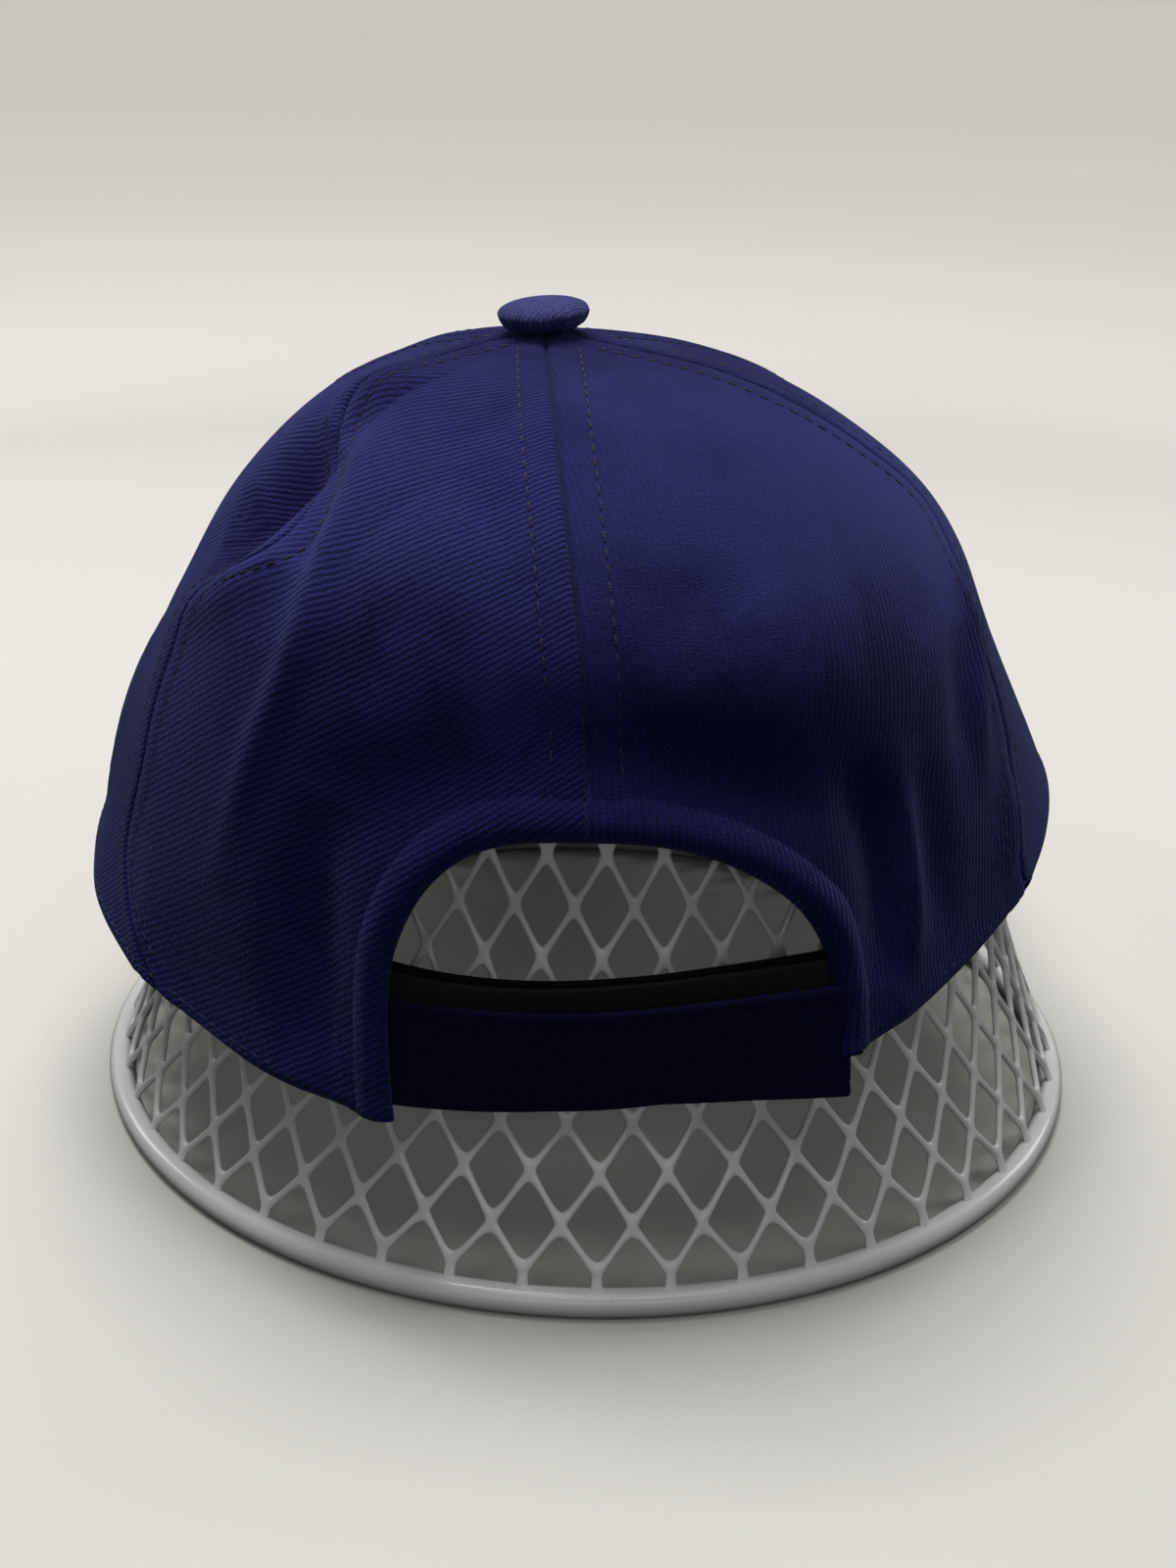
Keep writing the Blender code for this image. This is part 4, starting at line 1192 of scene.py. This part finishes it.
class Lattice:
    """Expanded metal: rows of knuckles, each joined to the two nearest above by slanted strands."""

    def __init__(self):
        rng = np.random.default_rng(7)
        self.jitter = rng.normal(0.0, 0.13, (len(ROW_HEIGHTS), CELLS_ROUND, 2))
        self.points = []
        self.faces = []
        self.corners = {}

    def knuckle(self, row, k):
        """A knuckle's angle and height. Every other row is turned by half a cell."""
        height = ROW_HEIGHTS[row] + self.jitter[row, k % CELLS_ROUND, 1]
        angle = math.radians(CELL_PHASE) + (k + 0.5 * (row % 2)) * 2 * math.pi / CELLS_ROUND
        return angle + self.jitter[row, k % CELLS_ROUND, 0] / float(wall_radius(height)), height

    def add_point(self, angle, height):
        self.points.append(wall_point(angle, height))
        return len(self.points) - 1

    def corner(self, row, k, dx, dz):
        """The point a little beside a knuckle's centre, shared by the strands that meet there."""
        key = (row, k % CELLS_ROUND, dx, dz)
        if key not in self.corners:
            angle, height = self.knuckle(row, k)
            self.corners[key] = self.add_point(angle + dx / float(wall_radius(height)), height + dz)
        return self.corners[key]

    def add_strand(self, row, k, above, side):
        """From knuckle k of a row to knuckle above of the next, on its right (side 1) or its left (-1)."""
        start, end = self.knuckle(row, k), self.knuckle(row + 1, above)
        radius = float(wall_radius(0.5 * (start[1] + end[1])))
        along, rise = (end[0] - start[0]) * radius, end[1] - start[1]
        length = math.hypot(along, rise)

        def beside(share, width):
            offset = side * STRAND_HALF_WIDTH * width / length
            angle = start[0] + (along * share - rise * offset) / radius
            return self.add_point(angle, start[1] + rise * share + along * offset)

        top = self.corner(row, k, 0.0, KNUCKLE_HALF_HEIGHT)
        pairs = [(top, self.corner(row, k, side * KNUCKLE_HALF_WIDTH, 0.0))]
        for (crotch, crotch_width), (opening, open_width) in zip(CROTCH_SIDE, OPEN_SIDE):
            pairs.append((beside(crotch, crotch_width), beside(opening, -open_width)))
        if row == len(ROW_HEIGHTS) - 2:
            pairs = pairs[:4]  # the rest is hidden in the pan
        else:
            far_side = self.corner(row + 1, above, -side * KNUCKLE_HALF_WIDTH, 0.0)
            pairs.append((far_side, self.corner(row + 1, above, 0.0, -KNUCKLE_HALF_HEIGHT)))
        for (a, b), (c, d) in zip(pairs, pairs[1:]):
            self.faces.append((b, d, c, a) if side > 0 else (a, c, d, b))

    def add_knuckle(self, row, k):
        widths = (-KNUCKLE_HALF_WIDTH, KNUCKLE_HALF_WIDTH)
        left, right = (self.corner(row, k, dx, 0.0) for dx in widths)
        top = self.corner(row, k, 0.0, KNUCKLE_HALF_HEIGHT)
        if row > 0:
            self.faces.append((top, left, self.corner(row, k, 0.0, -KNUCKLE_HALF_HEIGHT), right))
            return
        # The lowest ones stand on stems that spread into the rim.
        self.faces.append((top, left, right))
        depth = self.knuckle(row, k)[1] - STEM_FOOT
        for spread, share in STEM_SPREAD:
            low_left, low_right = (self.corner(row, k, dx * spread, -depth * share) for dx in widths)
            self.faces.append((left, low_left, low_right, right))
            left, right = low_left, low_right


def add_lattice():
    lattice = Lattice()
    for row in range(len(ROW_HEIGHTS) - 1):
        for k in range(CELLS_ROUND):
            lattice.add_knuckle(row, k)
            lattice.add_strand(row, k, k + row % 2, 1)
            lattice.add_strand(row, k, k + row % 2 - 1, -1)
    piece = mesh_piece("basket_lattice", np.array(lattice.points), lattice.faces, ENAMEL, "stand")
    thicken(piece, STRAND_THICKNESS, offset=0.0)
    smoothed(piece, 2)
    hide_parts("basket_wall")


def turned_piece(name, profile, steps, node, closed):
    """A profile of (radius, height) turned round the basket's axis."""
    turn = np.linspace(0, 2 * np.pi, steps, endpoint=False)
    radius, height = np.asarray(profile, float).T
    if closed:
        radius, height = np.append(radius, radius[0]), np.append(height, height[0])
    x, y = radius[:, None] * np.sin(turn), -radius[:, None] * np.cos(turn)
    points = np.stack([x, y, np.broadcast_to(height[:, None], x.shape)], -1).reshape(-1, 3)
    faces = grid_faces(len(radius), steps, ring=True)
    if closed:
        last = (len(radius) - 1) * steps
        faces = [tuple(i - last if i >= last else i for i in face) for face in faces]
        points = points[:last]
    piece = mesh_piece(name, points, faces, ENAMEL, "stand")
    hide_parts(node)


def add_rim():
    """The rolled bead, flattened a little where it stands on the table."""
    half_height = RIM_HEIGHT / 2
    middle = RIM_OUTER_RADIUS - BEAD_RADIUS
    profile = []
    for k in range(BEAD_STEPS):
        turn = 2 * math.pi * k / BEAD_STEPS
        height = half_height * (1 + 1.06 * math.sin(turn))
        profile.append((middle + BEAD_RADIUS * math.cos(turn), min(max(height, 0.0), RIM_HEIGHT)))
    turned_piece("rolled_rim", profile, 240, "basket_rim", closed=True)


def add_pan():
    low, high = (np.array(c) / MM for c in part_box("basket_pan"))
    radius, foot, top = 0.5 * (high[0] - low[0]), low[2], high[2]
    turns = np.radians(np.linspace(90, 0, 18))
    flat = radius - PAN_SHOULDER

    def corner(size, angles):
        return [(flat + size * math.cos(a), top - PAN_SHOULDER + size * math.sin(a)) for a in angles]

    profile = [(0.05, top), (flat - 12, top), (flat - 4, top)]
    profile += corner(PAN_SHOULDER, turns)
    lip = ((0.0, 0.4), (0.2, 0.0), (0.8, 0.0), (PAN_SHEET, 0.4))
    profile += [(radius - inset, foot + lift) for inset, lift in lip]
    profile += corner(PAN_SHOULDER - PAN_SHEET, turns[::-1])
    profile += [(flat - 4, top - PAN_SHEET), (0.05, top - PAN_SHEET)]
    turned_piece("pressed_pan", profile[::-1], 160, "basket_pan", closed=False)


# Floor, light and camera.
CAMERA_PLACE = (0.0, -0.3918, 0.2008)
CAMERA_TURN = (67.908, -1.468, 0.776)
CAMERA_LENS = 45.24
FLOOR_REACH = 150.0
BACKDROP = (0.56, 0.545, 0.50)


def add_floor():
    mesh = bpy.data.meshes.new("floor")
    corners = [(x * FLOOR_REACH, y * FLOOR_REACH, 0) for x, y in ((-1, -1), (1, -1), (1, 1), (-1, 1))]
    mesh.from_pydata(corners, [], [(0, 1, 2, 3)])
    floor = bpy.data.objects.new("floor", mesh)
    bpy.context.scene.collection.objects.link(floor)
    n = Nodes("pale_floor")
    grain = n.noise(900.0)
    pale = n.mix(grain, (0.64, 0.63, 0.595), (0.67, 0.66, 0.62))
    n.set(color=pale, roughness=0.85, Specular_IOR_Level=0.2)
    # Far off, where the softbox hardly reaches, the floor glows like the lit curve of a studio sweep.
    distance = n.new("ShaderNodeVectorMath", {0: n.position()}, operation="LENGTH").outputs["Value"]
    nearness = n.math("DIVIDE", 1.0, distance)
    n.feed(n.shader.inputs["Emission Strength"], n.ramp(nearness, 1.75, 0.45))
    n.feed(n.shader.inputs["Emission Color"], BACKDROP)
    # It throws back less light than it shows, as if black boards stood just outside the picture.
    dim = n.new("ShaderNodeBsdfDiffuse", {"Color": (0.085, 0.082, 0.078)}).outputs[0]
    seen = n.new("ShaderNodeLightPath").outputs["Is Camera Ray"]
    shown = n.new("ShaderNodeMixShader", {0: seen, 1: dim, 2: n.shader.outputs[0]}).outputs[0]
    n.feed(n.tree.nodes["Material Output"].inputs["Surface"], shown)
    mesh.materials.append(n.material)


def add_light(name, place, aim, size, power, colour=(1.0, 1.0, 1.0)):
    data = bpy.data.lights.new(name, "AREA")
    data.shape = "RECTANGLE"
    data.size, data.size_y = size
    data.energy = power
    data.color = colour
    light = bpy.data.objects.new(name, data)
    bpy.context.scene.collection.objects.link(light)
    light.location = place
    light.rotation_euler = (Vector(aim) - Vector(place)).to_track_quat("-Z", "Y").to_euler()


def studio_world():
    """A dim, even surround. The camera sees it as bright as the far floor, so there is no horizon."""
    world = bpy.data.worlds.new("studio")
    world.use_nodes = True
    nodes, links = world.node_tree.nodes, world.node_tree.links
    surround = nodes["Background"]
    surround.inputs["Color"].default_value = (0.93, 0.95, 1.0, 1.0)
    surround.inputs["Strength"].default_value = 0.028
    backdrop = nodes.new("ShaderNodeBackground")
    backdrop.inputs["Color"].default_value = (*BACKDROP, 1.0)
    mix = nodes.new("ShaderNodeMixShader")
    links.new(nodes.new("ShaderNodeLightPath").outputs["Is Camera Ray"], mix.inputs[0])
    links.new(surround.outputs[0], mix.inputs[1])
    links.new(backdrop.outputs[0], mix.inputs[2])
    links.new(mix.outputs[0], nodes["World Output"].inputs["Surface"])
    return world


def add_stage():
    add_floor()
    add_light("overhead_softbox", (-0.12, 0.28, 1.25), (0, 0.0, 0.05), (0.9, 0.8), 18.5, (1.0, 0.995, 0.975))
    add_light("high_front_fill", (0.10, -0.60, 1.10), (0, -0.05, 0.05), (0.8, 0.4), 1.8)
    add_light("low_front_fill", (0.10, -0.95, 0.40), (0, -0.05, 0.03), (0.9, 0.25), 0.8)
    add_light("right_strip", (0.75, 0.35, 0.40), (0.05, -0.03, 0.04), (0.25, 0.4), 1.2)
    add_light("left_strip", (-0.75, 0.35, 0.45), (-0.05, -0.03, 0.08), (0.25, 0.4), 1.2)
    bpy.context.scene.world = studio_world()
    data = bpy.data.cameras.new("camera")
    data.lens = CAMERA_LENS
    data.sensor_width = 36
    camera = bpy.data.objects.new("camera", data)
    bpy.context.scene.collection.objects.link(camera)
    camera.location = CAMERA_PLACE
    camera.rotation_euler = [math.radians(a) for a in CAMERA_TURN]
    bpy.context.scene.camera = camera
    bpy.context.scene.view_settings.view_transform = "Standard"


add_stage()
for panel, span in PANELS.items():
    add_crown_panel(panel, *span)
add_collar("right", 0, 90)
add_collar("left", 90, 180)
add_crown_stitching()
add_seam_tapes()
add_stiffeners()
add_sweatband()
add_straps()
add_visor()
add_button()
add_lattice()
add_rim()
add_pan()
